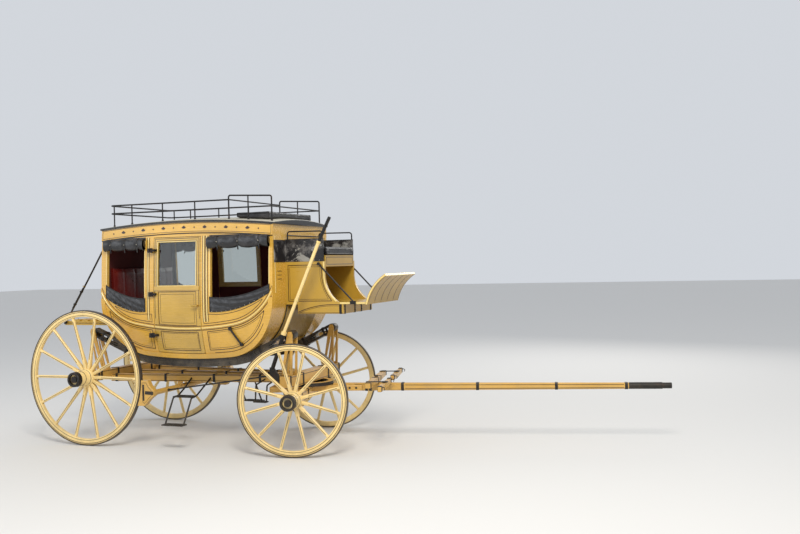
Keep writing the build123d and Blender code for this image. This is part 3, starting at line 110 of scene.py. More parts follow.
def shaded(name):
    """A new material, its node tree and its surface shader."""
    made = bpy.data.materials.new(name)
    made.use_nodes = True
    return made, made.node_tree, made.node_tree.nodes["Principled BSDF"]


def effect(name, inputs, outputs):
    """An empty shader node group with named inputs (name, kind, default) and outputs (name, kind)."""
    tree = bpy.data.node_groups.new(name, "ShaderNodeTree")
    for label, kind, default in inputs:
        socket = tree.interface.new_socket(label, in_out="INPUT", socket_type=kind)
        socket.default_value = default
    for label, kind in outputs:
        tree.interface.new_socket(label, in_out="OUTPUT", socket_type=kind)
    return tree, tree.nodes.new("NodeGroupInput").outputs, tree.nodes.new("NodeGroupOutput")


def linear(red, green, blue):
    """Screen colour 0-255 to linear colour: each channel to the power 2.2."""
    return ((red / 255.0) ** 2.2, (green / 255.0) ** 2.2, (blue / 255.0) ** 2.2, 1.0)


FLOAT = "NodeSocketFloat"
COLOUR = "NodeSocketColor"

# Brushed coach paint: long soft strokes, slow drifts of tone, fine orange peel
coat, given, out = effect(
    "brushed_paint",
    [
        ("Colour", COLOUR, (1, 1, 1, 1)), ("Drift", FLOAT, 0.12), ("Stroke", FLOAT, 60.0),
        ("Gloss", FLOAT, 0.35)
    ],
    [("Colour", COLOUR), ("Roughness", FLOAT), ("Height", FLOAT)],
)
place = own_space(coat)
slow = noise(coat, place, {"Scale": 3.0, "Detail": 5.0, "Roughness": 0.6})
stretch = node(coat, "ShaderNodeMapping", {"Vector": place, "Scale": (0.08, 1.0, 1.0)})
strokes = node(
    coat, "ShaderNodeTexNoise", {"Vector": stretch.outputs[0], "Scale": given["Stroke"], "Detail": 3.0}
)
peel = noise(coat, place, {"Scale": 420.0, "Detail": 2.0})
swing = ranged(coat, slow.outputs["Fac"], 0.3, 0.7, -1.0, 1.0)
amount = maths(coat, "MULTIPLY", swing.outputs[0], given["Drift"])
value = maths(coat, "ADD", amount.outputs[0], 1.0)
tone = node(coat, "ShaderNodeHueSaturation", {"Color": given["Colour"], "Value": value.outputs[0]})
coat.links.new(tone.outputs["Color"], out.inputs["Colour"])
rough = ranged(coat, strokes.outputs["Fac"], 0.2, 0.8, -0.04, 0.05)
sheen = maths(coat, "ADD", rough.outputs[0], given["Gloss"])
coat.links.new(sheen.outputs[0], out.inputs["Roughness"])
fine = maths(coat, "MULTIPLY_ADD", peel.outputs["Fac"], 0.25, strokes.outputs["Fac"])
coat.links.new(fine.outputs[0], out.inputs["Height"])

# Road dust: a pale film that is thickest low down and gathers in patches
dust, given, out = effect(
    "road_dust",
    [
        ("Colour", COLOUR, (1, 1, 1, 1)), ("Dust", COLOUR, (0.3, 0.25, 0.18, 1)), ("Top", FLOAT, 1.0),
        ("Amount", FLOAT, 0.4)
    ],
    [("Colour", COLOUR), ("Mask", FLOAT)],
)
place = own_space(dust)
axes = node(dust, "ShaderNodeSeparateXYZ", {"Vector": place})
fade = ranged(dust, axes.outputs["Z"], given["Top"], 0.0, 0.0, 1.0)
patch = noise(dust, place, {"Scale": 9.0, "Detail": 8.0, "Roughness": 0.68})
cover = ranged(dust, patch.outputs["Fac"], 0.35, 0.68)
mask = maths(dust, "MULTIPLY", fade.outputs[0], cover.outputs[0])
mask = maths(dust, "MULTIPLY", mask.outputs[0], given["Amount"], use_clamp=True)
film = blend(dust, mask.outputs[0], given["Colour"], given["Dust"])
dust.links.new(film.outputs[2], out.inputs["Colour"])
dust.links.new(mask.outputs[0], out.inputs["Mask"])

# Worn arrises: where the surface turns within a few millimetres, broken up by noise
worn, given, out = effect("worn_arris", [("Amount", FLOAT, 0.6)], [("Mask", FLOAT)])
place = own_space(worn)
face = node(worn, "ShaderNodeNewGeometry")
turned = node(worn, "ShaderNodeBevel", {"Radius": 0.004}, samples=4)
same = node(
    worn, "ShaderNodeVectorMath", {0: face.outputs["Normal"], 1: turned.outputs["Normal"]},
    operation="DOT_PRODUCT"
)
edge = ranged(worn, same.outputs["Value"], 0.985, 0.86)
broken = noise(worn, place, {"Scale": 38.0, "Detail": 6.0, "Roughness": 0.7})
broken = ranged(worn, broken.outputs["Fac"], 0.42, 0.62)
mask = maths(worn, "MULTIPLY", edge.outputs[0], broken.outputs[0])
mask = maths(worn, "MULTIPLY", mask.outputs[0], given["Amount"], use_clamp=True)
worn.links.new(mask.outputs[0], out.inputs["Mask"])

DUST = linear(150, 134, 104)
BARE_WOOD = linear(150, 118, 78)


def dusted(tree, shader, colour, top, amount):
    """Road dust over a colour socket, joined to the shader's base colour."""
    settings = {"Colour": colour, "Dust": DUST, "Top": top, "Amount": amount}
    film = node(tree, "ShaderNodeGroup", settings, node_tree=dust)
    tree.links.new(film.outputs["Colour"], shader.inputs["Base Color"])
    return film


def painted(
    name, colour, gloss=0.34, drift=0.12, dust_top=1.0, dust_amount=0.35, wear=0.5, under=BARE_WOOD,
    coated=0.25
):
    """Coach paint over wood: brushed colour, worn to the wood along arrises, dusty below dust_top
    metres."""
    made, tree, shader = shaded(name)
    shader.inputs["Coat Weight"].default_value = coated
    shader.inputs["Coat Roughness"].default_value = 0.16
    brushed = {"Colour": colour, "Drift": drift, "Gloss": gloss}
    paint = node(tree, "ShaderNodeGroup", brushed, node_tree=coat)
    rub = node(tree, "ShaderNodeGroup", {"Amount": wear}, node_tree=worn)
    bare = blend(tree, rub.outputs["Mask"], paint.outputs["Colour"], under)
    film = dusted(tree, shader, bare.outputs[2], dust_top, dust_amount)
    dull = maths(tree, "MULTIPLY_ADD", film.outputs["Mask"], 0.5, paint.outputs["Roughness"])
    tree.links.new(dull.outputs[0], shader.inputs["Roughness"])
    bump = node(
        tree, "ShaderNodeBump", {"Height": paint.outputs["Height"], "Strength": 0.05, "Distance": 0.001}
    )
    tree.links.new(bump.outputs[0], shader.inputs["Normal"])
    return made


# Forged iron: dark scale with a satin skin, rubbed grey on its edges, rust in scattered patches
def forged(name, colour, rust=0.25, rough=0.5, metallic=0.35, wear=0.7, dust_top=0.9, dust_amount=0.3):
    """Black painted or bare forged iron with hammer marks, rust patches and rubbed edges."""
    made, tree, shader = shaded(name)
    place = own_space(tree)
    marks = noise(tree, place, {"Scale": 55.0, "Detail": 4.0})
    patches = noise(tree, place, {"Scale": 14.0, "Detail": 9.0, "Roughness": 0.7})
    bloom = ranged(tree, patches.outputs["Fac"], 0.52, 0.7, 0.0, rust)
    rusty = blend(tree, bloom.outputs[0], colour, linear(104, 62, 38))
    rub = node(tree, "ShaderNodeGroup", {"Amount": wear}, node_tree=worn)
    bright = blend(tree, rub.outputs["Mask"], rusty.outputs[2], linear(138, 134, 128))
    dusted(tree, shader, bright.outputs[2], dust_top, dust_amount)
    metal = maths(tree, "MULTIPLY_ADD", rub.outputs["Mask"], 0.5, metallic, use_clamp=True)
    tree.links.new(metal.outputs[0], shader.inputs["Metallic"])
    skin = ranged(tree, marks.outputs["Fac"], 0.0, 1.0, rough - 0.12, rough + 0.14)
    tree.links.new(skin.outputs[0], shader.inputs["Roughness"])
    bump = node(
        tree, "ShaderNodeBump", {"Height": marks.outputs["Fac"], "Strength": 0.25, "Distance": 0.0015}
    )
    tree.links.new(bump.outputs[0], shader.inputs["Normal"])
    return made


carriage_paint = painted("carriage_paint", linear(206, 160, 76), dust_top=1.2, dust_amount=0.45, wear=0.5)
black_iron = forged("black_iron", linear(34, 33, 33))


def values_of(items, what):
    """One three-number attribute of every vertex or face of a mesh, a row each."""
    values = np.zeros(len(items) * 3)
    items.foreach_get(what, values)
    return values.reshape(-1, 3)


def shown(name, data):
    """A new object in the scene."""
    made = bpy.data.objects.new(name, data)
    bpy.context.scene.collection.objects.link(made)
    return made


def eased(cad_node, name, width, material, sharp=32.0):
    """A CAD node's form with its loose triangles merged, flats joined up and every arris rounded by
    width."""
    source = frame["nodes"][cad_node]
    places = values_of(source.data.vertices, "co")
    corners = np.zeros(len(source.data.polygons) * 3, dtype=np.int32)
    source.data.loops.foreach_get("vertex_index", corners)
    merged, back = np.unique(np.round(places, 6), axis=0, return_inverse=True)
    faces = back.reshape(-1)[corners.reshape(-1, 3)]
    distinct = (faces[:, 0] != faces[:, 1]) & (faces[:, 1] != faces[:, 2]) & (faces[:, 2] != faces[:, 0])
    mesh = bpy.data.meshes.new(name)
    mesh.from_pydata(merged.tolist(), [], faces[distinct].tolist())
    flat = bmesh.new()
    flat.from_mesh(mesh)
    bmesh.ops.dissolve_limit(flat, angle_limit=math.radians(0.4), verts=flat.verts, edges=flat.edges)
    flat.to_mesh(mesh)
    flat.free()
    mesh.shade_smooth()
    mesh.set_sharp_from_angle(angle=math.radians(sharp))
    mesh.materials.append(material)
    made = shown(name, mesh)
    if width > 0.0:
        arris = made.modifiers.new("arris", "BEVEL")
        arris.width = width
        arris.segments = 2
        arris.limit_method = "ANGLE"
        arris.angle_limit = math.radians(sharp)
        arris.use_clamp_overlap = True
    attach(made, source["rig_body"])
    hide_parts(cad_node)
    return made


eased("rear_axle", "rear_axle_bed", 0.003, carriage_paint)
eased("front_axle", "front_axle_bed", 0.003, carriage_paint)

# Wheels
# Elm hubs turned and banded with iron, oak spokes driven in with a dish toward
# the hub's back, ash felloes on the spoke tongues, and an iron tyre shrunk on
# hot over the lot. Straw yellow, lined with two brown rings on the felloes.

ALONG, ACROSS, UPWARD = (1.0, 0.0, 0.0), (0.0, 1.0, 0.0), (0.0, 0.0, 1.0)


def full_turn(count):
    """Angles of a whole turn, without the end."""
    return np.linspace(0.0, 2.0 * np.pi, count, endpoint=False)


def spread(x, y, z):
    """Points from three coordinates, numbers or grids, each spread to the shape of the widest."""
    return np.stack(np.broadcast_arrays(x, y, z), -1)


def skin(rows, ring=False, round_section=True):
    """Faces through a grid of points (rows, around, 3): a quad between two rows and two neighbours.
    ring joins the last row to the first; else a closed section gets a flat fan over each end.
    A closed form is turned to face outward."""
    rows = np.asarray(rows, dtype=float)
    count, around = rows.shape[:2]
    points = rows.reshape(-1, 3)
    i = np.arange(count if ring else count - 1)[:, None]
    j = np.arange(around if round_section else around - 1)[None, :]
    a = i * around + j
    b = i * around + (j + 1) % around
    c = ((i + 1) % count) * around + (j + 1) % around
    d = ((i + 1) % count) * around + j
    faces = np.stack([a, b, c, d], -1).reshape(-1, 4)
    fans = np.zeros((0, 3), dtype=int)
    if round_section and not ring:
        ends = np.array([rows[0].mean(0), rows[-1].mean(0)])
        k = np.arange(around)
        first = spread((k + 1) % around, k, len(points))
        last = spread(k, (k + 1) % around, len(points) + 1)
        last[:, :2] += (count - 1) * around
        fans = np.concatenate([first, last])
        points = np.concatenate([points, ends])
    if round_section:
        triangles = np.concatenate([faces[:, [0, 1, 2]], faces[:, [0, 2, 3]], fans])
        p, q, r = points[triangles[:, 0]], points[triangles[:, 1]], points[triangles[:, 2]]
        if np.einsum("ij,ij->", p, np.cross(q, r)) < 0.0:
            faces = faces[:, ::-1]
            fans = fans[:, ::-1]
    return points, faces.tolist() + fans.tolist()


def unit(rows):
    """Vectors brought to length one."""
    return rows / np.linalg.norm(rows, axis=-1, keepdims=True)


def carried(path, section, up, scale=None, ring=False):
    """A section carried along a path: at each point it lies square to the path, its second axis
    nearest to up."""
    path = np.asarray(path, dtype=float)
    section = np.asarray(section, dtype=float)
    if section.ndim == 2:
        section = np.repeat(section[None], len(path), 0)
    if scale is not None:
        section = section * np.asarray(scale)[:, None, :]
    run = np.gradient(path, axis=0)
    if ring:
        run = np.roll(path, -1, 0) - np.roll(path, 1, 0)
    run = unit(run)
    across = unit(np.cross(run, np.broadcast_to(np.asarray(up, dtype=float), path.shape)))
    rise = np.cross(across, run)
    return path[:, None] + section[..., :1] * across[:, None] + section[..., 1:] * rise[:, None]


def swept(path, section, up, ring=False, scale=None):
    """The closed form of a section carried along a path."""
    return skin(carried(path, section, up, scale, ring), ring)


def rounded(width, height, radius, steps=3):
    """A rectangle section with quarter-circle corners, as points around it."""
    turn = np.linspace(0.0, np.pi / 2.0, steps + 1)
    points = []
    for corner, (sx, sy) in enumerate(((1, 1), (-1, 1), (-1, -1), (1, -1))):
        angle = turn + corner * np.pi / 2.0
        x = sx * (width / 2.0 - radius) + radius * np.cos(angle)
        y = sy * (height / 2.0 - radius) + radius * np.sin(angle)
        points.append(np.stack([x, y], -1))
    return np.concatenate(points)


def disc(radius, count=12):
    """A circle section as points around it."""
    angle = np.linspace(0.0, 2.0 * np.pi, count, endpoint=False)
    return np.stack([radius * np.cos(angle), radius * np.sin(angle)], -1)


def turned_on_y(profile, count=72):
    """A lathe form about the Y axis: each profile point (along, radius) swung through a full circle."""
    profile = np.asarray(profile, dtype=float)
    angle = full_turn(count)[:, None]
    along = np.broadcast_to(profile[:, 0], (count, len(profile)))
    rows = spread(profile[:, 1] * np.cos(angle), along, profile[:, 1] * np.sin(angle))
    return skin(rows, ring=True)


def piece(name, parts, materials, body, replaces=(), sharp=35.0):
    """One object from several (points, faces, material number) parts, shaded smooth but for arrises
    over sharp degrees."""
    points = []
    faces = []
    numbers = []
    offset = 0
    for part in parts:
        number = part[2] if len(part) > 2 else 0
        points.append(part[0])
        faces.extend([[v + offset for v in face] for face in part[1]])
        numbers.extend([number] * len(part[1]))
        offset += len(part[0])
    mesh = bpy.data.meshes.new(name)
    mesh.from_pydata(np.concatenate(points).tolist(), [], faces)
    for material in materials:
        mesh.materials.append(material)
    mesh.polygons.foreach_set("material_index", np.array(numbers, dtype=np.int32))
    mesh.shade_smooth()
    mesh.set_sharp_from_angle(angle=math.radians(sharp))
    made = shown(name, mesh)
    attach(made, body)
    if replaces:
        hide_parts(*replaces)
    return made


def moved(part, turn, shift):
    """A part turned by a 3 by 3 matrix, then shifted."""
    return (part[0] @ np.asarray(turn).T + np.asarray(shift),) + tuple(part[1:])


def about_z(angle):
    """Turn about the Z axis by an angle in radians."""
    c, s = math.cos(angle), math.sin(angle)
    return np.array([[c, -s, 0.0], [s, c, 0.0], [0.0, 0.0, 1.0]])


# thickness of a painted line, and how far trim is let into the surface
LINE_THICK, LET_IN = 0.0014, 0.0004
wheel_paint = painted(
    "wheel_paint", linear(236, 206, 138), gloss=0.3, dust_top=1.2, dust_amount=0.35, wear=0.4, coated=0.4
)
lining_brown = painted(
    "lining_brown", linear(58, 30, 20), gloss=0.35, drift=0.15, wear=0.0, dust_amount=0.2
)
tyre_iron = forged(
    "tyre_iron", linear(86, 80, 74), rust=0.5, rough=0.42, metallic=0.75, wear=1.0, dust_top=1.5,
    dust_amount=0.45
)

TYRE_WIDTH = 0.046
TYRE_THICK = 0.012
REAR_FELLOE, FRONT_FELLOE = 0.058, 0.054
RIM_STEPS = 144
HUB_BACK = 0.150
HUB_FRONT = 0.190
DISH = 0.045
BORE = 0.025
joint_at = {joint["name"]: joint for joint in frame["joints"]}
STEER = math.radians(12.5)


def hub_profile():
    """The hub's outline (along the axle, radius), as the points of its beads, swell and nose, back to
    the bore."""
    outer = [(HUB_BACK, BORE), (HUB_BACK, 0.056), (HUB_BACK - 0.003, 0.061), (HUB_BACK - 0.018, 0.064)]
    outer += [(HUB_BACK - 0.022, 0.0675), (HUB_BACK - 0.028, 0.0675), (HUB_BACK - 0.032, 0.0655)]
    swell = np.linspace(0.0, 1.0, 6)[1:]
    outer += [(HUB_BACK - 0.032 - 0.014 * t, 0.0655 + 0.0165 * t) for t in swell]
    outer += [(DISH + 0.048, 0.086), (DISH + 0.042, 0.0905), (DISH + 0.036, 0.092)]
    outer += [(DISH - 0.036, 0.092), (DISH - 0.042, 0.0905), (DISH - 0.048, 0.086)]
    outer += [(DISH - 0.053, 0.0825), (DISH - 0.056, 0.085), (DISH - 0.062, 0.085), (DISH - 0.065, 0.082)]
    nose = np.linspace(0.0, 1.0, 9)[1:]
    outer += [(DISH - 0.065 - t * 0.110, 0.082 - 0.016 * t ** 0.8) for t in nose]
    outer += [(-0.146, 0.064), (-0.158, 0.063), (-0.158, BORE)]
    return outer


def wheel_parts(radius, spokes):
    """A wheel about the Y axis, outer side toward -Y, as lathe, lofted spoke and swept felloe parts."""
    rim_out = radius - TYRE_THICK
    rim_in = rim_out - (REAR_FELLOE if radius > 0.6 else FRONT_FELLOE)
    wood = [turned_on_y(hub_profile()) + (0,)]
    # hub lining: brown bands in the turned grooves, and the iron band with its open mouth
    for along, wide, high in (
        (HUB_BACK - 0.026, 0.006, 0.0692), (DISH - 0.059, 0.006, 0.0866), (DISH - 0.118, 0.005, 0.0752)
    ):
        ring = [
            (along + wide / 2, high - 0.006), (along + wide / 2, high), (along - wide / 2, high),
            (along - wide / 2, high - 0.006)
        ]
        wood.append(turned_on_y(ring) + (1,))
    band = [
        (-0.136, 0.060), (-0.136, 0.078), (-0.139, 0.0805), (-HUB_FRONT + 0.004, 0.0765),
        (-HUB_FRONT, 0.073), (-HUB_FRONT, 0.054)
    ]
    band += [(-0.160, 0.0525), (-0.160, 0.060)]
    wood.append(turned_on_y(band) + (2,))
    back = [
        (HUB_BACK + 0.001, 0.050), (HUB_BACK + 0.001, 0.068), (HUB_BACK - 0.013, 0.0695),
        (HUB_BACK - 0.013, 0.050)
    ]
    wood.append(turned_on_y(back) + (2,))
    # spokes: a superellipse section whose corners soften and which tapers outward, then a round shoulder
    along = np.linspace(0.0, 1.0, 15)
    inner, outer = 0.080, rim_in + 0.004
    height = inner + (outer - inner) * along
    lean = DISH * (1.0 - along)
    wide = np.interp(along, (0.0, 0.12, 0.75, 0.95, 1.0), (0.034, 0.034, 0.029, 0.029, 0.029))
    deep = np.interp(
        along, (0.0, 0.10, 0.22, 0.75, 0.95, 1.0), (0.052, 0.050, 0.041, 0.030, 0.032, 0.031)
    )
    square = np.interp(along, (0.0, 0.12, 0.30, 0.9, 1.0), (6.0, 5.0, 2.6, 2.4, 3.2))
    angle = full_turn(20)[None, :]
    power = 2.0 / square[:, None]
    x = wide[:, None] / 2.0 * np.sign(np.cos(angle)) * np.abs(np.cos(angle)) ** power
    y = deep[:, None] / 2.0 * np.sign(np.sin(angle)) * np.abs(np.sin(angle)) ** power + lean[:, None]
    z = np.broadcast_to(height[:, None], x.shape)
    spoke = skin(spread(x, y, z))
    # spoke lining: one brown stripe down the outer face
    line_at = np.linspace(0.2, 0.93, 12)
    stripe_z = inner + (outer - inner) * line_at
    stripe_y = DISH * (1.0 - line_at) - np.interp(line_at, along, deep) / 2.0 - 0.0006
    stripe = spread(0.0, stripe_y, stripe_z)
    stripe = swept(stripe, rounded(0.0042, 0.0024, 0.0006, 1), (0.0, -1.0, 0.0))
    for index in range(spokes):
        turn = 2.0 * np.pi * (index + 0.5) / spokes
        c, s = math.cos(turn), math.sin(turn)
        swing = np.array([[c, 0.0, s], [0.0, 1.0, 0.0], [-s, 0.0, c]])
        wood.append(moved(spoke, swing, (0, 0, 0)) + (0,))
        wood.append(moved(stripe, swing, (0, 0, 0)) + (1,))
    # felloes: a rounded section swept from joint to joint, a hair's breadth between them
    felloes = spokes // 2
    section = rounded(TYRE_WIDTH, rim_out - rim_in, 0.007, 3)
    middle = (rim_out + rim_in) / 2.0
    joint = 0.0009 / middle
    for index in range(felloes):
        sweep = np.linspace(
            index / felloes * 2.0 * np.pi + joint, (index + 1) / felloes * 2.0 * np.pi - joint, 22
        )
        path = spread(middle * np.sin(sweep), 0.0, middle * np.cos(sweep))
        outward = path / middle
        wood.append(swept(path, section, outward) + (0,))
    # two rings of lining on the felloes' outer face
    for at, wide in ((rim_out - 0.0125, 0.0062), (rim_in + 0.0135, 0.0042)):
        ring = [(-TYRE_WIDTH / 2 + 0.001, at - wide / 2), (-TYRE_WIDTH / 2 - 0.0007, at - wide / 2)]
        ring += [(-TYRE_WIDTH / 2 - 0.0007, at + wide / 2), (-TYRE_WIDTH / 2 + 0.001, at + wide / 2)]
        wood.append(turned_on_y(ring, RIM_STEPS) + (1,))
    # tyre: flat iron hoop, its outer corners rolled over by the road
    half = TYRE_WIDTH / 2.0
    hoop = [
        (-half, rim_out - 0.0005), (-half, radius - 0.0045), (-half + 0.0015, radius - 0.0015),
        (-half + 0.005, radius)
    ]
    hoop += [
        (half - 0.005, radius), (half - 0.0015, radius - 0.0015), (half, radius - 0.0045),
        (half, rim_out - 0.0005)
    ]
    tyre = [turned_on_y(hoop, RIM_STEPS) + (0,)]
    return wood, tyre


for end, spokes in (("rear", 14), ("front", 12)):
    for side, face in (("right", 0.0), ("left", math.pi)):
        centre = joint_at["%s_wheel_spin_%s" % (end, side)]["pos_m"]
        turn = about_z(face + (STEER if end == "front" else 0.0))
        wood, tyre = wheel_parts(centre[2], spokes)
        body = "%s_wheel_%s" % (end, side)
        cad_wheel = "wheel_%s_%s" % (end, side)
        cad_tyre = "tyre_%s_%s" % (end, side)
        piece(
            cad_wheel + "_joinery", [moved(p, turn, centre) for p in wood],
            [wheel_paint, lining_brown, black_iron], body, [cad_wheel]
        )
        piece(
            cad_tyre + "_hoop", [moved(p, turn, centre) for p in tyre], [tyre_iron], body, [cad_tyre],
            sharp=28.0
        )

# Perches, bolster and front carriage
# Three ash perches tie the rear axle to the front bolster. Below the bolster an
# iron turning ring carries the hounds, the front axle and the socket of the pole.

eased("perches", "perch_poles", 0.005, carriage_paint)
eased("front_bolster", "front_bolster_beam", 0.005, carriage_paint)
eased("hounds", "hound_arms", 0.005, carriage_paint)
eased("pole", "draught_pole", 0.003, carriage_paint)
eased("pole_tip", "pole_tip_iron", 0.004, black_iron)
eased("evener", "evener_bar_wood", 0.005, carriage_paint)
for side in ("left", "right"):
    eased("singletree_" + side, "singletree_%s_wood" % side, 0.006, carriage_paint)

# Standards
# Forged iron cheeks stepped on the axle bed and the bolster; a pin through each
# pair carries the loop of the thoroughbrace. Painted with the carriage.

eased("standards_rear", "standards_rear_iron", 0.003, carriage_paint)
eased("standards_front", "standards_front_iron", 0.003, carriage_paint)

# Thoroughbraces
# Eight thicknesses of ox hide to a side. Two pairs are endless loops round the
# pins; the four between end short of the pins. Iron keepers bind the stack.

leather_grain, given, out = effect(
    "leather_grain",
    [
        ("Colour", COLOUR, (0.03, 0.03, 0.03, 1)), ("Pale", COLOUR, (0.2, 0.18, 0.16, 1)),
        ("Scale", FLOAT, 160.0), ("Wear", FLOAT, 0.35)
    ],
    [("Colour", COLOUR), ("Roughness", FLOAT), ("Height", FLOAT)],
)
place = own_space(leather_grain)
pores = node(leather_grain, "ShaderNodeTexVoronoi", {"Vector": place, "Scale": given["Scale"]})
creases = noise(
    leather_grain, place, {"Scale": 22.0, "Detail": 9.0, "Roughness": 0.66, "Distortion": 0.8}
)
scuffs = noise(leather_grain, place, {"Scale": 7.0, "Detail": 7.0, "Roughness": 0.7})
scuffed = ranged(leather_grain, scuffs.outputs["Fac"], 0.5, 0.72)
scuffed = maths(leather_grain, "MULTIPLY", scuffed.outputs[0], given["Wear"])
hide = blend(leather_grain, scuffed.outputs[0], given["Colour"], given["Pale"])
leather_grain.links.new(hide.outputs[2], out.inputs["Colour"])
dull = ranged(leather_grain, creases.outputs["Fac"], 0.3, 0.7, 0.22, 0.48)
leather_grain.links.new(dull.outputs[0], out.inputs["Roughness"])
relief = maths(leather_grain, "MULTIPLY_ADD", creases.outputs["Fac"], 1.6, pores.outputs["Distance"])
leather_grain.links.new(relief.outputs[0], out.inputs["Height"])


def leather(name, colour, pale, wear=0.35, scale=160.0, bump=0.35, dust_top=0.0, dust_amount=0.0):
    """Harness leather: pores, creases and pale scuffs over the dye, with road dust where it hangs low."""
    made, tree, shader = shaded(name)
    grain = {"Colour": colour, "Pale": pale, "Scale": scale, "Wear": wear}
    hide = node(tree, "ShaderNodeGroup", grain, node_tree=leather_grain)
    dusted(tree, shader, hide.outputs["Colour"], dust_top, dust_amount)
    tree.links.new(hide.outputs["Roughness"], shader.inputs["Roughness"])
    relief = node(
        tree, "ShaderNodeBump", {"Height": hide.outputs["Height"], "Strength": bump, "Distance": 0.0012}
    )
    tree.links.new(relief.outputs[0], shader.inputs["Normal"])
    return made


brace_leather = leather(
    "brace_leather", linear(40, 36, 33), linear(112, 100, 84), wear=0.55, dust_top=1.6, dust_amount=0.5
)

AXLE_X = -2.593394
BODY_X = AXLE_X + 1.170
KING_X = AXLE_X + 2.290
SILL_Z, SILL_RADIUS, SILL_REACH = 0.920, 5.0, 0.500
HALF_LENGTH = 1.040
SILL_SIN = SILL_REACH / SILL_RADIUS
SILL_COS = math.sqrt(1.0 - SILL_SIN ** 2)
SILL_END_Z = SILL_Z + SILL_RADIUS * (1.0 - SILL_COS)
CORNER = (HALF_LENGTH - SILL_REACH) / (1.0 - SILL_SIN)
CORNER_X = SILL_REACH - CORNER * SILL_SIN
CORNER_Z = SILL_END_Z + CORNER * SILL_COS
BRACE_Y = 0.490
BRACE_WIDTH = 0.090
BRACE_HALF = 0.045
PINS = ((AXLE_X - 0.090, 1.190), (KING_X + 0.042, 1.172))


def brace_line():
    """The strap's middle line in side view: pin to tangent, round the body's corner, along the sill
    arc, and up again."""
    radius = CORNER + BRACE_HALF + 0.001
    points = []
    for (pin_x, pin_z), sign in zip(PINS, (-1.0, 1.0)):
        centre = np.array([BODY_X + sign * CORNER_X, CORNER_Z])
        away = np.array([pin_x, pin_z]) - centre
        far = np.linalg.norm(away)
        lean = math.atan2(away[1], away[0])
        angle = lean + sign * -1.0 * math.acos(radius / far)
        low = math.atan2(-SILL_COS, sign * SILL_SIN)
        if sign < 0.0 and angle > 0.0:
            angle -= 2.0 * math.pi
        arc = np.linspace(angle, low, 26)[:, None]
        curve = centre + radius * np.concatenate([np.cos(arc), np.sin(arc)], 1)
        free = (
            np.array([pin_x, pin_z])
            + (curve[0] - np.array([pin_x, pin_z])) * np.linspace(0.0, 1.0, 10)[:-1, None]
        )
        half = np.concatenate([free, curve])
        points.append(half)
    sweep = np.linspace(-math.asin(SILL_SIN), math.asin(SILL_SIN), 30)[1:-1, None]
    bottom = SILL_RADIUS + BRACE_HALF + 0.001
    middle = np.concatenate(
        [BODY_X + bottom * np.sin(sweep), SILL_Z + SILL_RADIUS - bottom * np.cos(sweep)], 1
    )
    return np.concatenate([points[0], middle, points[1][::-1]])


line = brace_line()
run = unit(np.gradient(line, axis=0))
outward = np.stack([run[:, 1], -run[:, 0]], -1)


def brace_layers(side):
    """The eight hides of one strap: two endless loops, four short middle hides, each a little wavy at
    its edge."""
    parts = []
    steps = np.arange(len(line))
    for layer, offset in enumerate((0.0390, 0.0280)):
        loop = []
        for pin, end in ((PINS[1], -1), (PINS[0], 0)):
            start = math.atan2(outward[end][1], outward[end][0])
            turn = start + np.linspace(0.0, math.pi, 16)[1:-1]
            loop.append(np.array(pin) + offset * np.stack([np.cos(turn), np.sin(turn)], -1))
        under = line + offset * outward
        over = line - offset * outward
        path = np.concatenate([under, loop[0], over[::-1], loop[1]])
        slack = 0.0014 * np.sin(np.arange(len(path)) * 0.55 + layer * 1.7)
        points = spread(path[:, 0], side * (BRACE_Y + slack), path[:, 1])
        up = spread(np.gradient(points[:, 2]), 0.0, -np.gradient(points[:, 0]))
        parts.append(swept(points, rounded(BRACE_WIDTH - 0.003, 0.0104, 0.0028, 2), up, ring=True))
    for layer, offset in enumerate((-0.0165, -0.0055, 0.0055, 0.0165)):
        inner = slice(4 + layer % 2, len(line) - 4 - layer % 2)
        path = line[inner] + offset * outward[inner]
        slack = 0.0016 * np.sin(steps[inner] * 0.4 + layer * 2.1)
        points = spread(path[:, 0], side * (BRACE_Y + slack), path[:, 1])
        up = spread(-outward[inner][:, 0], 0.0, -outward[inner][:, 1])
        parts.append(
            swept(points, rounded(BRACE_WIDTH - 0.002 - 0.003 * (layer % 2), 0.0104, 0.0028, 2), up)
        )
    return parts


for side, name in ((1.0, "left"), (-1.0, "right")):
    parts = [p + (0,) for p in brace_layers(side)]
    for k in (2, 7, len(line) - 8, len(line) - 3):
        up = np.array([-outward[k][0], 0.0, -outward[k][1]])
        down_strap = np.array([run[k][0], 0.0, run[k][1]])
        around = rounded(BRACE_WIDTH + 0.007, 2.0 * BRACE_HALF + 0.004, 0.007, 4)
        centre = np.array([line[k][0], side * BRACE_Y, line[k][1]])
        path = centre + around[:, :1] * np.array(ACROSS) + around[:, 1:] * up
        parts.append(swept(path, rounded(0.0045, 0.024, 0.001, 1), down_strap, ring=True) + (1,))
    piece(
        "thoroughbrace_%s_hides" % name, parts, [brace_leather, black_iron], "coach",
        ["thoroughbrace_" + name]
    )

# Body shell
# Bent basswood panels on an ash frame: side walls, end panels and bottom
# boards, straw yellow outside, with a maroon cloth lining inside.

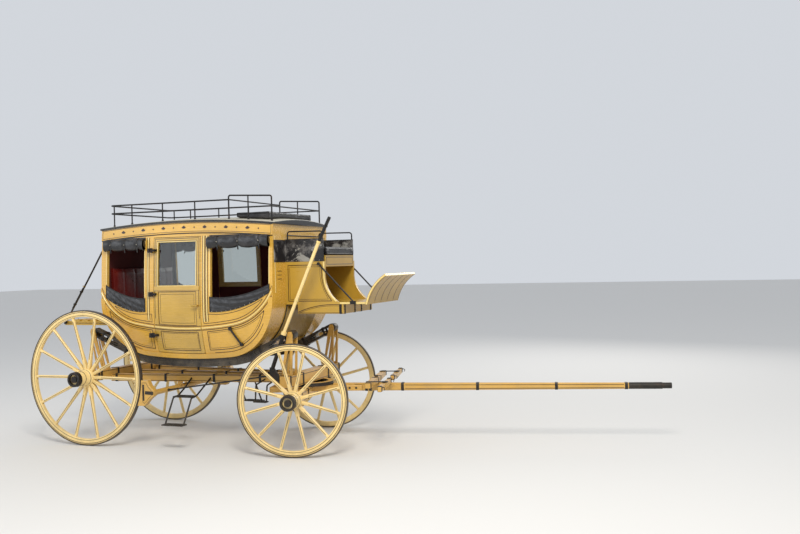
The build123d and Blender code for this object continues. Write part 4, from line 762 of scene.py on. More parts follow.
body_paint = painted(
    "body_paint", linear(206, 160, 66), gloss=0.26, dust_top=1.5, dust_amount=0.32, wear=0.45, coated=0.5
)
lining_cloth, tree, shader = shaded("lining_cloth")
place = own_space(tree)
warp = node(
    tree, "ShaderNodeTexWave", {"Vector": place, "Scale": 180.0, "Distortion": 0.6}, bands_direction="X"
)
weft = node(
    tree, "ShaderNodeTexWave", {"Vector": place, "Scale": 180.0, "Distortion": 0.6}, bands_direction="Z"
)
woven = maths(tree, "MULTIPLY", warp.outputs["Fac"], weft.outputs["Fac"])
faded = noise(tree, place, {"Scale": 4.0, "Detail": 5.0})
shade = blend(tree, faded.outputs["Fac"], linear(58, 18, 16), linear(96, 34, 28))
tree.links.new(shade.outputs[2], shader.inputs["Base Color"])
shader.inputs["Roughness"].default_value = 0.9
pile = node(tree, "ShaderNodeBump", {"Height": woven.outputs[0], "Strength": 0.3, "Distance": 0.0008})
tree.links.new(pile.outputs[0], shader.inputs["Normal"])


CABIN_MIDDLE = np.array([BODY_X, 0.0, 1.5])
END_WALL_INSIDE = HALF_LENGTH - 0.028


def faces_of(made):
    """The middles and the normals of a piece's faces."""
    return values_of(made.data.polygons, "center"), values_of(made.data.polygons, "normal")


def numbered(made, kind):
    """Give each face of a piece its material number."""
    made.data.polygons.foreach_set("material_index", kind.astype(np.int32))


def lined_inside(made, material):
    """Faces of a body piece that look toward the middle of the cabin take the lining."""
    made.data.materials.append(material)
    centres, normals = faces_of(made)
    facing = np.einsum("ij,ij->i", CABIN_MIDDLE - centres, normals)
    flat = np.abs(normals).max(1) > 0.5
    sideways = np.abs(normals[:, 1])
    level = np.abs(normals[:, 2]) * (np.abs(centres[:, 1]) < 0.5)
    on_end_wall = np.abs(np.abs(centres[:, 0] - BODY_X) - END_WALL_INSIDE) < 0.01
    endways = (np.abs(normals[:, 0]) > 0.9) * on_end_wall
    numbered(made, (facing > 0.25) & flat & (sideways + level + endways > 0.5))


for side in ("left", "right"):
    lined_inside(eased("side_wall_" + side, "side_panel_" + side, 0.0025, body_paint), lining_cloth)
lined_inside(eased("rear_panel", "rear_end_panel", 0.002, body_paint), lining_cloth)
lined_inside(eased("front_panel", "front_end_panel", 0.002, body_paint), lining_cloth)
brown_wood = painted(
    "brown_wood", linear(84, 56, 38), gloss=0.5, drift=0.25, wear=0.3, dust_amount=0.2, coated=0.0
)
eased("floor", "bottom_boards", 0.002, brown_wood)
eased("letter_boards", "letter_boards_moulded", 0.003, body_paint)

# Mouldings and painted lining of the body
# Half-round beads of ash planted along the belt and the pillars, and lines
# striped in dark brown with a sable brush, the same on both sides.

BELT_Z, BELT_HALF, SILL_HALF = 1.450, 0.655, 0.556
BELT_LINES = (-0.0215, 0.0215)
ROOF_Z, ROOF_HALF, ROOF_RADIUS = 2.345, 0.605, 10.050
MOULD_Z, MOULD_RADIUS, MOULD_REACH, MOULD_CORNER = 1.240, 3.530, 0.580, 0.617
MOULD_PROUD, BOARD_PROUD, BOARD_HIGH = 0.009, 0.011, 0.112
DOOR_REAR, DOOR_FRONT = AXLE_X + 0.800, AXLE_X + 1.366
TRIM_STANDS = 0.0095
line_brown = painted("line_brown", linear(48, 27, 16), gloss=0.3, drift=0.15, wear=0.0, dust_amount=0.15)
bead_cream = painted(
    "bead_cream", linear(226, 200, 128), gloss=0.24, drift=0.08, dust_top=1.5, dust_amount=0.2, wear=0.0,
    coated=0.4
)


def side_y(z, proud=0.0, roof_half=ROOF_HALF):
    """Half width of the body at height z: one arc below the belt and a flatter one above, proud
    outside it."""
    low = ((BELT_Z - SILL_Z) ** 2 + (BELT_HALF - SILL_HALF) ** 2) / (2.0 * (BELT_HALF - SILL_HALF))
    top = ((ROOF_Z - BELT_Z) ** 2 + (BELT_HALF - roof_half) ** 2) / (2.0 * (BELT_HALF - roof_half))
    radius = np.where(z < BELT_Z, low, top)
    return BELT_HALF - radius + np.sqrt((radius + proud) ** 2 - (z - BELT_Z) ** 2)


def belt_z(x, above=0.0):
    """Height of the belt's middle line at x: a wide arc whose ends turn up on smaller ones; above
    shifts it square to itself."""
    dx = np.abs(x - BODY_X)
    sine = MOULD_REACH / MOULD_RADIUS
    centre_x = MOULD_REACH - MOULD_CORNER * sine
    centre_z = MOULD_Z + MOULD_RADIUS - (MOULD_RADIUS - MOULD_CORNER) * math.sqrt(1.0 - sine ** 2)
    middle = MOULD_Z + MOULD_RADIUS - np.sqrt((MOULD_RADIUS - above) ** 2 - dx ** 2)
    bent = centre_z - np.sqrt(np.maximum((MOULD_CORNER - above) ** 2 - (dx - centre_x) ** 2, 0.0))
    return np.where(dx < MOULD_REACH - sine * above, middle, bent)


def arch_z(x, drop=0.0):
    """Height of the arched top of the walls at x, drop below it."""
    return ROOF_Z - drop - ROOF_RADIUS + np.sqrt(ROOF_RADIUS ** 2 - (x - BODY_X) ** 2)


def outline(inset, top):
    """The body's side outline drawn in by inset, from the rear edge at height top round the sill to
    the front edge."""
    low = math.asin(SILL_SIN)
    swing = np.linspace(0.0, math.pi / 2.0 - low, 28)[:, None]
    corner = np.concatenate(
        [CORNER_X + (CORNER - inset) * np.cos(swing), CORNER_Z - (CORNER - inset) * np.sin(swing)], 1
    )
    sweep = np.linspace(low, 0.0, 14)[1:, None]
    sill = np.concatenate(
        [
            (SILL_RADIUS - inset) * np.sin(sweep),
            SILL_Z + SILL_RADIUS - (SILL_RADIUS - inset) * np.cos(sweep)
        ],
        1
    )
    rise = np.array([[HALF_LENGTH - inset, top]])
    half = np.concatenate([rise, corner, sill])
    rear = half * (-1.0, 1.0)
    return np.concatenate([rear, half[::-1][1:]]) + (BODY_X, 0.0)


def evened(path, step=0.03, ring=False):
    """The same polyline with extra points, so that none of its legs is longer than step."""
    path = np.asarray(path, dtype=float)
    if ring:
        path = np.concatenate([path, path[:1]])
    reach = np.concatenate([[0.0], np.cumsum(np.linalg.norm(np.diff(path, axis=0), axis=1))])
    at = np.union1d(reach, np.linspace(0.0, reach[-1], int(reach[-1] / step) + 2))
    at = at[np.concatenate([[True], np.diff(at) > 0.0015])]
    fine = np.stack([np.interp(at, reach, path[:, k]) for k in range(path.shape[1])], -1)
    return fine[:-1] if ring else fine


def striped(path, wide, proud=0.0, thick=LINE_THICK, ring=False, radius=0.0005):
    """A flat bead laid on the curved side along a side-view path (x, z), thick above the surface that
    stands proud."""
    path = evened(path, 0.03, ring)
    points = spread(path[:, 0], side_y(path[:, 1], proud + thick / 2.0 - LET_IN), path[:, 1])
    return swept(points, rounded(wide, thick, radius, 1), ACROSS, ring=ring)


def mirrored(part):
    """The same part on the coach's right: y turned over and the faces turned back outward."""
    return (part[0] * (1.0, -1.0, 1.0), [face[::-1] for face in part[1]]) + tuple(part[2:])


def sided(parts, side):
    """Parts built on the left, as they are or mirrored for the right."""
    return parts if side == "left" else [mirrored(part) for part in parts]


def on_both_sides(name, parts, materials, body):
    """One object a side from parts built on the left; body may hold %s for the side's name."""
    for side in ("left", "right"):
        rides_on = body % side if "%s" in body else body
        piece(name % side, sided(parts, side), materials, rides_on)


def along(x0, x1, height, count=40):
    """A side-view path whose height is a function of x."""
    x = np.linspace(x0, x1, count)
    return np.stack([x, height(x)], -1)


def lower_loop(x0, x1, inset, below):
    """A closed line inside a lower panel: the outline drawn in by inset, closed under the belt by
    below."""
    edge = evened(outline(inset, 1.6), 0.02)
    edge = edge[(edge[:, 0] >= x0) & (edge[:, 0] <= x1) & (edge[:, 1] < belt_z(edge[:, 0], -below))]
    top = along(edge[-1, 0], edge[0, 0], lambda x: belt_z(x, -below))
    return np.concatenate([edge, top])


def upper_loop(x0, x1, apron_foot, corner):
    """A closed line between the leather apron's foot and the belt; the foot's curve runs level past
    corner."""
    curve = np.polyfit([point[0] for point in apron_foot], [point[1] for point in apron_foot], 2)
    x = np.linspace(x0, x1, 90)
    ends = sorted(point[0] for point in apron_foot)
    top = np.polyval(
        curve, np.clip(x, corner, None) if corner < ends[1] else np.clip(x, None, corner)
    ) - 0.026
    low = belt_z(x, 0.045)
    room = top > low + 0.004
    x, top, low = x[room], top[room], low[room]
    return np.concatenate([np.stack([x, top], -1), np.stack([x, low], -1)[::-1]])


def at(x):
    """A station x ahead of the rear axle, in the shared frame."""
    return AXLE_X + x


APRONS = (
    ((at(0.205), 1.568), (at(0.4425), 1.449), (at(0.680), 1.418)),
    ((at(1.492), 1.416), (at(1.8285), 1.455), (at(2.165), 1.612)),
)
body_rear, body_front = BODY_X - HALF_LENGTH, BODY_X + HALF_LENGTH

shell = []
for x0, x1 in ((body_rear + 0.010, at(0.790)), (at(1.377), body_front - 0.010)):
    shell.append(striped(along(x0, x1, belt_z), 0.013, MOULD_PROUD, 0.005, radius=0.0022) + (0,))
    for offset in BELT_LINES:
        shell.append(striped(along(x0, x1, lambda x: belt_z(x, offset)), 0.0065) + (1,))
WIDE_LINE, NARROW_LINE = (0.088, 0.040, 0.0075), (0.106, 0.056, 0.0035)
for x0, x1, (inset, below, wide) in (
    (body_rear, at(0.765), WIDE_LINE), (body_rear, at(0.750), NARROW_LINE),
    (at(1.424), body_front, WIDE_LINE), (at(1.440), body_front, NARROW_LINE),
):
    shell.append(striped(lower_loop(x0, x1, inset, below), wide, ring=True) + (1,))
UPPER_ENDS = ((body_rear + 0.05, at(0.768), at(0.680)), (at(1.402), body_front - 0.05, at(1.492)))
for foot, (x0, x1, corner) in zip(APRONS, UPPER_ENDS):
    shell.append(striped(upper_loop(x0, x1, foot, corner), 0.006, ring=True) + (1,))
# sill: a dark line over the sill band, behind the door and ahead of it
sill = evened(outline(0.058, 1.5), 0.02)
for x0, x1 in ((-0.930, -0.570), (0.3105, 0.930)):
    between = (sill[:, 0] > BODY_X + x0) & (sill[:, 0] < BODY_X + x1) & (sill[:, 1] < 1.36)
    shell.append(striped(sill[between], 0.006) + (1,))
# pillars: a cream bead with a brown line on each side, from the belt to the letter board
for x, foot in ((at(0.731), 0.060), (at(1.410), 0.060), (at(1.446), 0.060)):
    for shift, wide, thick, number in (
        (0.0, 0.014, 0.006, 0), (-0.0125, 0.0065, LINE_THICK, 1), (0.0125, 0.0065, LINE_THICK, 1)
    ):
        path = [(x + shift, float(belt_z(np.array(x + shift), foot)) + 0.002), (x + shift, 2.196)]
        shell.append(
            striped(path, wide, 0.0, thick, radius=0.0022 if number == 0 else 0.0005) + (number,)
        )
# windows: a cream bead round each opening's jambs and head
for x0, x1, foot0, foot1 in ((at(0.205), at(0.680), 1.712, 1.568), (at(1.492), at(2.165), 1.576, 1.700)):
    path = [(x0 - 0.008, foot0), (x0 - 0.008, 2.192), (x1 + 0.008, 2.192), (x1 + 0.008, foot1)]
    shell.append(striped(path, 0.010, 0.0, 0.005, radius=0.0020) + (0,))
on_both_sides("body_%s_lining", shell, [bead_cream, line_brown], "coach")

# The letter boards are left bare of words: a border line, a row of small lozenges, a black line along the
# top edge, and a black strip on the wall under the board's lower edge that is painted shade of the gap
# beneath the board
boards = []
border = [
    along(body_rear + 0.016, body_front - 0.016, lambda x: arch_z(x, 0.014)),
    along(body_front - 0.016, body_rear + 0.016, lambda x: arch_z(x, 0.098))
]
boards.append(striped(np.concatenate(border), 0.005, BOARD_PROUD, ring=True) + (0,))
x0, x1 = body_rear + 0.001, body_front - 0.001
foot, head = along(
    x0, x1, lambda x: arch_z(x, BOARD_HIGH + 0.004)
), along(x0, x1, lambda x: arch_z(x, 0.004))
# painted shade: a black strip on the wall along the board's lower edge, standing in for the shadow under
# the board
boards.append(striped(foot, 0.010, 0.0, 0.006, radius=0.002) + (1,))
boards.append(striped(head, 0.007, BOARD_PROUD, 0.003) + (1,))
for k in range(-7, 8):
    x = BODY_X + k * 0.126
    z = float(arch_z(np.array(x), 0.056))
    half_x, half_z = (0.027, 0.020) if k % 2 == 0 else (0.010, 0.010)
    diamond = np.array([(half_x, 0.0), (0.0, half_z), (-half_x, 0.0), (0.0, -half_z)])
    y = float(side_y(np.array(z), BOARD_PROUD))
    path = np.array([(x, y - 0.0006, z), (x, y + 0.0012, z)])
    boards.append(swept(path, diamond, UPWARD) + (0,))
black_paint = painted(
    "black_paint", linear(26, 25, 26), gloss=0.3, drift=0.2, wear=0.3, dust_amount=0.2,
    under=linear(120, 96, 60)
)
on_both_sides("letter_board_%s_ornament", boards, [line_brown, black_paint], "coach")

# Doors carry the belt and the sill line across, a bordered lower panel and a lined sunk panel
leaf = []
x0, x1 = DOOR_REAR + 0.003, DOOR_FRONT - 0.003
leaf.append(striped(along(x0, x1, belt_z), 0.013, MOULD_PROUD, 0.005, radius=0.0022) + (0,))
for offset in BELT_LINES:
    leaf.append(striped(along(x0, x1, lambda x: belt_z(x, offset)), 0.0065) + (1,))
for rear, front, inset, below, wide in (
    (0.062, 0.035, 0.088, 0.040, 0.0075), (0.076, 0.049, 0.104, 0.054, 0.0035)
):
    loop = lower_loop(DOOR_REAR + rear, DOOR_FRONT - front, inset, below)
    leaf.append(striped(loop, wide, ring=True) + (1,))
sunk_x0, sunk_x1 = DOOR_REAR + 0.048, DOOR_FRONT - 0.048
for gap, wide, number in ((0.006, 0.006, 1), (0.030, 0.0035, 1)):
    foot = along(sunk_x0 + gap, sunk_x1 - gap, lambda x: belt_z(x, 0.026 + gap), 20)
    head = np.array([(sunk_x1 - gap, 1.628 - gap), (sunk_x0 + gap, 1.628 - gap)])
    leaf.append(striped(np.concatenate([foot, head]), wide, -0.007, ring=True) + (number,))
pane_x0, pane_x1, pane_z0, pane_z1 = DOOR_REAR + 0.052, DOOR_FRONT - 0.052, 1.690, 2.140
for gap, wide, thick, number in ((0.006, 0.010, 0.005, 0), (0.0145, 0.006, LINE_THICK, 1)):
    frame_line = [
        (pane_x0 - gap, pane_z0 - gap), (pane_x1 + gap, pane_z0 - gap), (pane_x1 + gap, pane_z1 + gap),
        (pane_x0 - gap, pane_z1 + gap)
    ]
    leaf.append(
        striped(
            frame_line, wide, 0.0, thick, ring=True, radius=0.0016 if number == 0 else 0.0005
        ) + (number,)
    )
edge_line = [
    (DOOR_REAR + 0.014, 1.345), (DOOR_REAR + 0.014, 2.178), (DOOR_FRONT - 0.014, 2.178),
    (DOOR_FRONT - 0.014, 1.345)
]
leaf.append(striped(edge_line, 0.006) + (1,))
on_both_sides("door_%s_lining", leaf, [bead_cream, line_brown], "door_leaf_%s")

# Doors
# Framed leaves that follow the body's curve, with a glazed upper light, hung on
# three iron pins at the rear edge and shut by a brass T handle.

door_paint = painted(
    "door_paint", linear(188, 151, 68), gloss=0.26, dust_top=1.5, dust_amount=0.3, wear=0.5, coated=0.5
)
pane_glass, tree, shader = shaded("pane_glass")
shader.inputs["Transmission Weight"].default_value = 1.0
shader.inputs["IOR"].default_value = 1.45
shader.inputs["Metallic"].default_value = 0.0
place = own_space(tree)
smears = noise(tree, place, {"Scale": 9.0, "Detail": 6.0})
film = ranged(tree, smears.outputs["Fac"], 0.4, 0.75, 0.01, 0.09)
tree.links.new(film.outputs[0], shader.inputs["Roughness"])
shader.inputs["Base Color"].default_value = (0.52, 0.57, 0.55, 1.0)
handle_brass = forged(
    "handle_brass", linear(200, 164, 88), rust=0.1, rough=0.28, metallic=0.95, wear=0.3, dust_amount=0.0
)
for side in ("left", "right"):
    leaf = eased("door_" + side, "door_leaf_%s_joinery" % side, 0.0025, door_paint)
    for material in (black_iron, handle_brass, lining_cloth):
        leaf.data.materials.append(material)
    places, facing = faces_of(leaf)
    proud = np.abs(places[:, 1]) - side_y(places[:, 2])
    kind = np.where((proud > TRIM_STANDS) & (places[:, 0] < DOOR_REAR + 0.080), 1, 0)
    kind = np.where((proud > TRIM_STANDS) & (places[:, 0] > DOOR_FRONT - 0.120), 2, kind)
    inner_face = (proud < -0.026) & (facing[:, 1] * np.sign(places[:, 1]) < -0.7)
    kind = np.where(inner_face & (places[:, 2] < 1.66), 3, kind)
    numbered(leaf, kind)
    eased("door_glass_" + side, "door_pane_" + side, 0.0, pane_glass)

# Curtains and aprons of the windows
# Black harness leather: curtains rolled up under the letter board and held by
# strap ties, and aprons stretched over the lower half of each opening, bound
# along their edges and held by rows of tinned nails.

black_leather = leather("black_leather", linear(25, 24, 26), linear(98, 98, 102), wear=0.5, bump=0.6)
shader = black_leather.node_tree.nodes["Principled BSDF"]
shader.inputs["Coat Weight"].default_value = 0.4
shader.inputs["Coat Roughness"].default_value = 0.24
black_strap = leather("black_strap", linear(22, 21, 21), linear(70, 66, 60), wear=0.3, scale=260.0)
tinned = forged(
    "tinned_nail", linear(168, 162, 148), rust=0.15, rough=0.32, metallic=0.85, wear=0.2, dust_amount=0.0
)
ROLL_Z, ROLL_DEEP, ROLL_HIGH = 2.123, 0.033, 0.058
ROLL_Y = float(side_y(np.array(ROLL_Z))) + ROLL_DEEP - 0.002


def dome(radius, height, at):
    """A nail head: rings of a shallow dome on the side face, its crown outward."""
    turn = np.linspace(0.0, np.pi / 2.0, 4)
    around = np.linspace(0.0, 2.0 * np.pi, 9)[:-1]
    out = np.sin(turn) * height
    wide = np.cos(turn) * radius + 1e-5
    rows = spread(wide[:, None] * np.cos(around), out[:, None], wide[:, None] * np.sin(around))
    rows = np.concatenate([rows[:1] - (0.0, 0.0015, 0.0), rows])
    points, faces = skin(rows)
    return points + at, faces


def rolled_curtain(x0, x1, ties, seed):
    """A rolled hide: an ellipse along the window's head, drawn in at each tie, slack and creased
    between them."""
    x = np.linspace(x0, x1, 96)[:, None]
    angle = full_turn(40)[None, :]
    near = np.min(np.abs(x - np.array(ties)[None, :]), axis=1, keepdims=True)
    pinch = np.exp(-(near / 0.022) ** 2)
    sag = 1.0 - np.exp(-(near / 0.09) ** 2)
    ripple = 0.045 * np.sin(7.0 * angle + 46.0 * x + seed) * sag
    ripple = ripple + 0.035 * np.sin(3.0 * angle - 71.0 * x + 2.0 * seed)
    crease = np.maximum(0.0, np.sin(11.0 * angle + 12.0 * np.sin(31.0 * x + seed)))
    fold = 0.05 * np.sin(angle * 2.0 + 19.0 * (x - x0) + seed) + 0.07 * crease * sag
    gather = 0.10 * np.sin(17.0 * x + 2.6 * angle + 3.0 * seed) * np.sin(5.0 * angle - 23.0 * x) * sag
    grow = np.minimum(0.86 + ripple + fold + gather - 0.30 * pinch, 1.02)
    y = ROLL_Y + ROLL_DEEP * grow * np.cos(angle)
    droop = 0.007 * np.sin(23.0 * x + seed) * sag * np.maximum(0.0, -np.sin(angle))
    z = ROLL_Z + 0.008 - 0.010 * sag - droop + ROLL_HIGH * grow * np.sin(angle)
    rows = spread(x, y, z)
    parts = [skin(rows) + (0,)]
    # the loose edge of the hide, wound half a turn round the outside of the roll
    wind = np.linspace(-2.6, 1.5, 26)[None, :]
    lip = 1.0 - 0.26 * pinch + 0.025 * np.sin(5.0 * wind + 38.0 * x + seed)
    hide = []
    for share in (lip + 0.075, lip):
        y = ROLL_Y + ROLL_DEEP * share * np.cos(wind)
        z = ROLL_Z + 0.006 - 0.010 * sag + ROLL_HIGH * share * np.sin(wind)
        hide.append(spread(x, y, z))
    parts.append(skin(np.concatenate([hide[0], hide[1][:, ::-1]], 1)) + (0,))
    # head of the hide, nailed flat under the letter board
    head = np.array([(0.0, 0.0), (0.0045, 0.0), (0.0045, 0.040), (0.0, 0.040)])
    face_y = float(side_y(np.array(2.165)))
    path = spread(x[:, 0], face_y, 2.160)
    parts.append(skin(path[:, None] + spread(0.0, head[:, 0], head[:, 1])[None]) + (0,))
    for tie in ties:
        turn = full_turn(40)
        deep, high = ROLL_DEEP * 0.74 + 0.003, ROLL_HIGH * 0.74 + 0.003
        loop = spread(tie, ROLL_Y + deep * np.cos(turn), ROLL_Z + 0.006 + high * np.sin(turn))
        outward = spread(0.0, np.cos(turn) * ROLL_HIGH, np.sin(turn) * ROLL_DEEP)
        parts.append(swept(loop, rounded(0.020, 0.0036, 0.001, 1), outward, ring=True) + (1,))
        hang = np.array(
            [
                (tie + 0.002, ROLL_Y + 0.024, ROLL_Z - 0.020),
                (tie + 0.006, ROLL_Y + 0.028, ROLL_Z - 0.050),
                (tie + 0.004, ROLL_Y + 0.020, ROLL_Z - 0.080)
            ]
        )
        parts.append(swept(evened(hang, 0.008), rounded(0.016, 0.003, 0.001, 1), (0.0, 1.0, 0.2)) + (1,))
        parts.append(dome(0.006, 0.004, (tie, ROLL_Y + 0.030, ROLL_Z + 0.004)) + (2,))
    return parts


def stretched_apron(x0, x1, top, foot, seed):
    """A hide stretched over the lower part of a window: rows along x, each a closed section from foot
    to top and back."""
    count = 90
    x = np.linspace(x0, x1, count)
    head = np.polyval(np.polyfit((x0, (x0 + x1) / 2.0, x1), top, 2), x)
    base = np.polyval(np.polyfit((x0, (x0 + x1) / 2.0, x1), foot, 2), x)
    v = np.linspace(0.0, 1.0, 16)[None, :]
    z = base[:, None] + (head - base)[:, None] * v
    u = ((x - x0) / (x1 - x0))[:, None]
    swell = 0.0065 * np.sin(np.pi * v) * np.sin(np.pi * u) ** 0.5
    drag = 0.0028 * np.sin(9.0 * v * np.pi * 0.5 + 13.0 * u + seed) * np.sin(np.pi * v)
    drag = drag + 0.0016 * np.sin(46.0 * u + 6.0 * v + seed)
    rest = 0.0042 + np.maximum(swell + drag, 0.0)
    front = spread(x[:, None], side_y(z, rest), z)
    back = spread(x[:, None], side_y(z, 0.0006), z)[:, ::-1]
    hide = skin(np.concatenate([front, back], 1)) + (0,)
    parts = []
    for edge, drop in ((head, 0.004), (base, -0.004)):
        path = spread(x, side_y(edge - drop, 0.005), edge - drop)
        parts.append(swept(path, rounded(0.013, 0.0062, 0.0028, 3), ACROSS) + (1,))
    for edge in (x0 + 0.005, x1 - 0.005):
        nearest = 0 if edge < x1 - 0.01 else count - 1
        rise = np.linspace(base[nearest], head[nearest], 10)
        path = spread(edge, side_y(rise, 0.005), rise)
        parts.append(swept(path, rounded(0.012, 0.006, 0.0026, 2), ACROSS) + (1,))
    nails = np.arange(x0 + 0.03, x1 - 0.02, 0.055)
    for nail in nails:
        low = float(np.interp(nail, x, base)) + 0.004
        parts.append(dome(0.0045, 0.003, (nail, float(side_y(np.array(low), 0.0075)), low)) + (2,))
    flat = (x1 - x0, float(np.max(head) - np.min(base)))
    return hide, parts, flat, float(np.mean(head - base)) * (x1 - x0)


ROLLS = ((at(0.191), at(0.694), (0.09, 0.27, 0.43)), (at(1.478), at(2.179), (0.12, 0.36, 0.60)))
WINDOWS = (("rear", at(0.193), at(0.692)), ("front", at(1.480), at(2.177)))
TOPS = ((1.702, 1.592, 1.558), (1.566, 1.580, 1.690))
FEET = [[z for x, z in foot] for foot in APRONS]
rolls = []
for index, (x0, x1, ties) in enumerate(ROLLS):
    rolls += rolled_curtain(x0, x1, [x0 + tie for tie in ties], 1.3 + 2.1 * index)
for side in ("left", "right"):
    piece(
        "rolled_curtains_" + side, sided(rolls, side), [black_leather, black_strap, tinned], "coach",
        ["curtains_" + side], sharp=50.0
    )
    for index, (window, x0, x1) in enumerate(WINDOWS):
        hide, parts, flat, area = stretched_apron(x0, x1, TOPS[index], FEET[index], 0.7 + 1.9 * index)
        hide, parts = sided([hide], side), sided(parts, side)
        apron = piece(
            "apron_%s_%s" % (window, side), hide, [black_leather], "coach", ["aprons_" + side],
        )
        binding = piece(
            "apron_binding_%s_%s" % (window, side), parts, [black_leather, black_strap, tinned], "coach",
            sharp=50.0
        )

# Roof
# Basswood boards bent over the arched wall tops, covered with painted canvas
# and bound along the edge with a black leather welt.

roof_canvas = painted(
    "roof_canvas", linear(176, 172, 158), gloss=0.75, drift=0.2, dust_amount=0.0, wear=0.0, coated=0.0
)
roof = eased("roof", "roof_covering", 0.006, roof_canvas)
roof.data.materials.append(black_paint)
facing = faces_of(roof)[1]
numbered(roof, np.abs(facing[:, 2]) < 0.7)

EAVE_HALF, ROOF_BEND = 0.608, 4.63
seams = []
for x in (at(0.42), at(0.98), at(1.54)):
    y = np.linspace(-EAVE_HALF, EAVE_HALF, 40)
    crown = float(arch_z(np.array(x))) + 0.0605 - y ** 2 / (2.0 * ROOF_BEND)
    path = spread(x, y, crown)
    seams.append(swept(path, rounded(0.024, 0.0030, 0.0012, 2), UPWARD) + (0,))
piece("roof_canvas_seams", seams, [roof_canvas], "coach")

# Roof rails
# Round iron rod: posts leaded into the roof, two rails behind and a raised rail
# round the forward seat, with a ball nut where each post meets the roof.

eased("roof_rail", "roof_rail_rods", 0.0, black_iron)
collars = []
POSTS, POST_Y = (0.240, 0.470, 0.860, 1.260, 1.668, 1.895, 2.165), 0.548
for x, y in [(at(post), side * POST_Y) for post in POSTS for side in (-1.0, 1.0)]:
    z = float(arch_z(np.array(x))) + 0.0275
    profile = np.array(
        [
            (0.0, 0.020), (0.004, 0.019), (0.006, 0.012), (0.012, 0.0105), (0.016, 0.0125),
            (0.020, 0.0105), (0.023, 0.0085)
        ]
    )
    around = full_turn(14)
    rows = spread(
        x + profile[:, 1:] * np.cos(around), y + profile[:, 1:] * np.sin(around),
        z - 0.004 + profile[:, :1]
    )
    collars.append(skin(rows) + (0,))
piece("roof_rail_collars", collars, [black_iron], "coach")

# Driver's boot
# Boarded box under the driver's seat: side boards with a scooped front edge, a
# floor on a cross frame, striped like the body. Iron bands wrap the frame's nose.

boot_paint = painted(
    "boot_paint", linear(178, 142, 56), gloss=0.3, dust_top=1.3, dust_amount=0.25, wear=0.35, coated=0.4
)
BOOT_HALF, BOOT_REAR, BOOT_FRONT, FLOOR_END = 0.375, at(2.210), at(2.655), at(3.110)
BOOT_FLOOR_Z, BOOT_TOP = 1.492, 1.905
eased("front_boot", "boot_boards", 0.003, boot_paint)


def ran(path, wide, thick, face, radius=0.0005, ring=False, step=0.03):
    """A flat strip or bead along a path in space, its thickness standing out of the surface along
    face."""
    points = evened(path, step, ring)
    points = points + np.asarray(face, dtype=float) * (thick / 2.0 - LET_IN)
    return swept(points, rounded(wide, thick, radius, 1), face, ring=ring)


def three_point(a, b, c, count=24):
    """The arc of a circle through three points of a plane, from the first to the last."""
    (ax, ay), (bx, by), (cx, cy) = a, b, c
    size = 2.0 * (ax * (by - cy) + bx * (cy - ay) + cx * (ay - by))
    x = (
        (ax * ax + ay * ay) * (by - cy) + (bx * bx + by * by) * (cy - ay)
        + (cx * cx + cy * cy) * (ay - by)
    ) / size
    y = (
        (ax * ax + ay * ay) * (cx - bx) + (bx * bx + by * by) * (ax - cx)
        + (cx * cx + cy * cy) * (bx - ax)
    ) / size
    radius = math.hypot(ax - x, ay - y)
    angles = [math.atan2(q - y, p - x) for p, q in (a, b, c)]
    start, end = angles[0], angles[2]
    turn = (end - start) % (2.0 * math.pi)
    if (angles[1] - start) % (2.0 * math.pi) > turn:
        turn -= 2.0 * math.pi
    swing = start + np.linspace(0.0, turn, count)
    return np.stack([x + radius * np.cos(swing), y + radius * np.sin(swing)], -1)


def scooped(inset):
    """The scooped front edge of the boot's side board in side view, drawn in by inset, from the floor
    up."""
    low = (BOOT_FRONT + 0.142 - 2.0 * inset, BOOT_FLOOR_Z + inset)
    middle = (BOOT_FRONT + 0.042 - inset, BOOT_FLOOR_Z + 0.108 + 0.3 * inset)
    high = (BOOT_FRONT - inset, BOOT_TOP - 0.125)
    return three_point(low, middle, high)


def on_plane(path, y):
    """A side-view path set on the plane at y."""
    path = np.asarray(path, dtype=float)
    return spread(path[:, 0], y, path[:, 1])


def set_out(part, out, place):
    """A part built for the left, mirrored where out is below zero, then shifted to its place."""
    part = part if out > 0.0 else mirrored(part)
    return part[0] + place, part[1]


trim = []
for inset, wide in ((0.036, 0.0075), (0.054, 0.0035)):
    edge = scooped(inset)
    rear = BOOT_REAR - 0.004 + inset
    corners = [(rear, BOOT_TOP - inset), (rear, BOOT_FLOOR_Z - 0.024 + inset)]
    loop = np.concatenate([corners, edge, [(BOOT_FRONT - inset, BOOT_TOP - inset)]])
    loop[2:-1, 1] -= 0.024 * (1.0 - np.linspace(0.0, 1.0, len(edge)) ** 0.5)
    trim.append(ran(on_plane(loop, BOOT_HALF), wide, LINE_THICK, ACROSS, ring=True) + (1,))
# cream beads along the floor's edge and on the scooped edge with a line inside it, then on the
# frame a swept rib line, a finer one below it and a line along the foot
floor_edge = [(FLOOR_END - 0.004, BOOT_FLOOR_Z - 0.011), (BOOT_FRONT + 0.160, BOOT_FLOOR_Z - 0.011)]
front_edge = np.concatenate([scooped(0.010), [(BOOT_FRONT - 0.010, BOOT_TOP - 0.004)]])
sweep = three_point((at(2.350), 1.392), (at(2.560), 1.452), (at(2.835), 1.462))
for path, wide, thick, radius, number in (
    (floor_edge, 0.018, 0.0035, 0.0014, 0),
    (front_edge, 0.017, 0.004, 0.0016, 0),
    (scooped(0.022), 0.0035, LINE_THICK, 0.0005, 1),
    (sweep, 0.007, LINE_THICK, 0.0005, 1),
    (sweep + (0.0, -0.013), 0.0035, LINE_THICK, 0.0005, 1),
    ([(at(2.352), 1.383), (at(2.842), 1.383)], 0.006, LINE_THICK, 0.0005, 1),
):
    trim.append(ran(on_plane(path, BOOT_HALF), wide, thick, ACROSS, radius) + (number,))
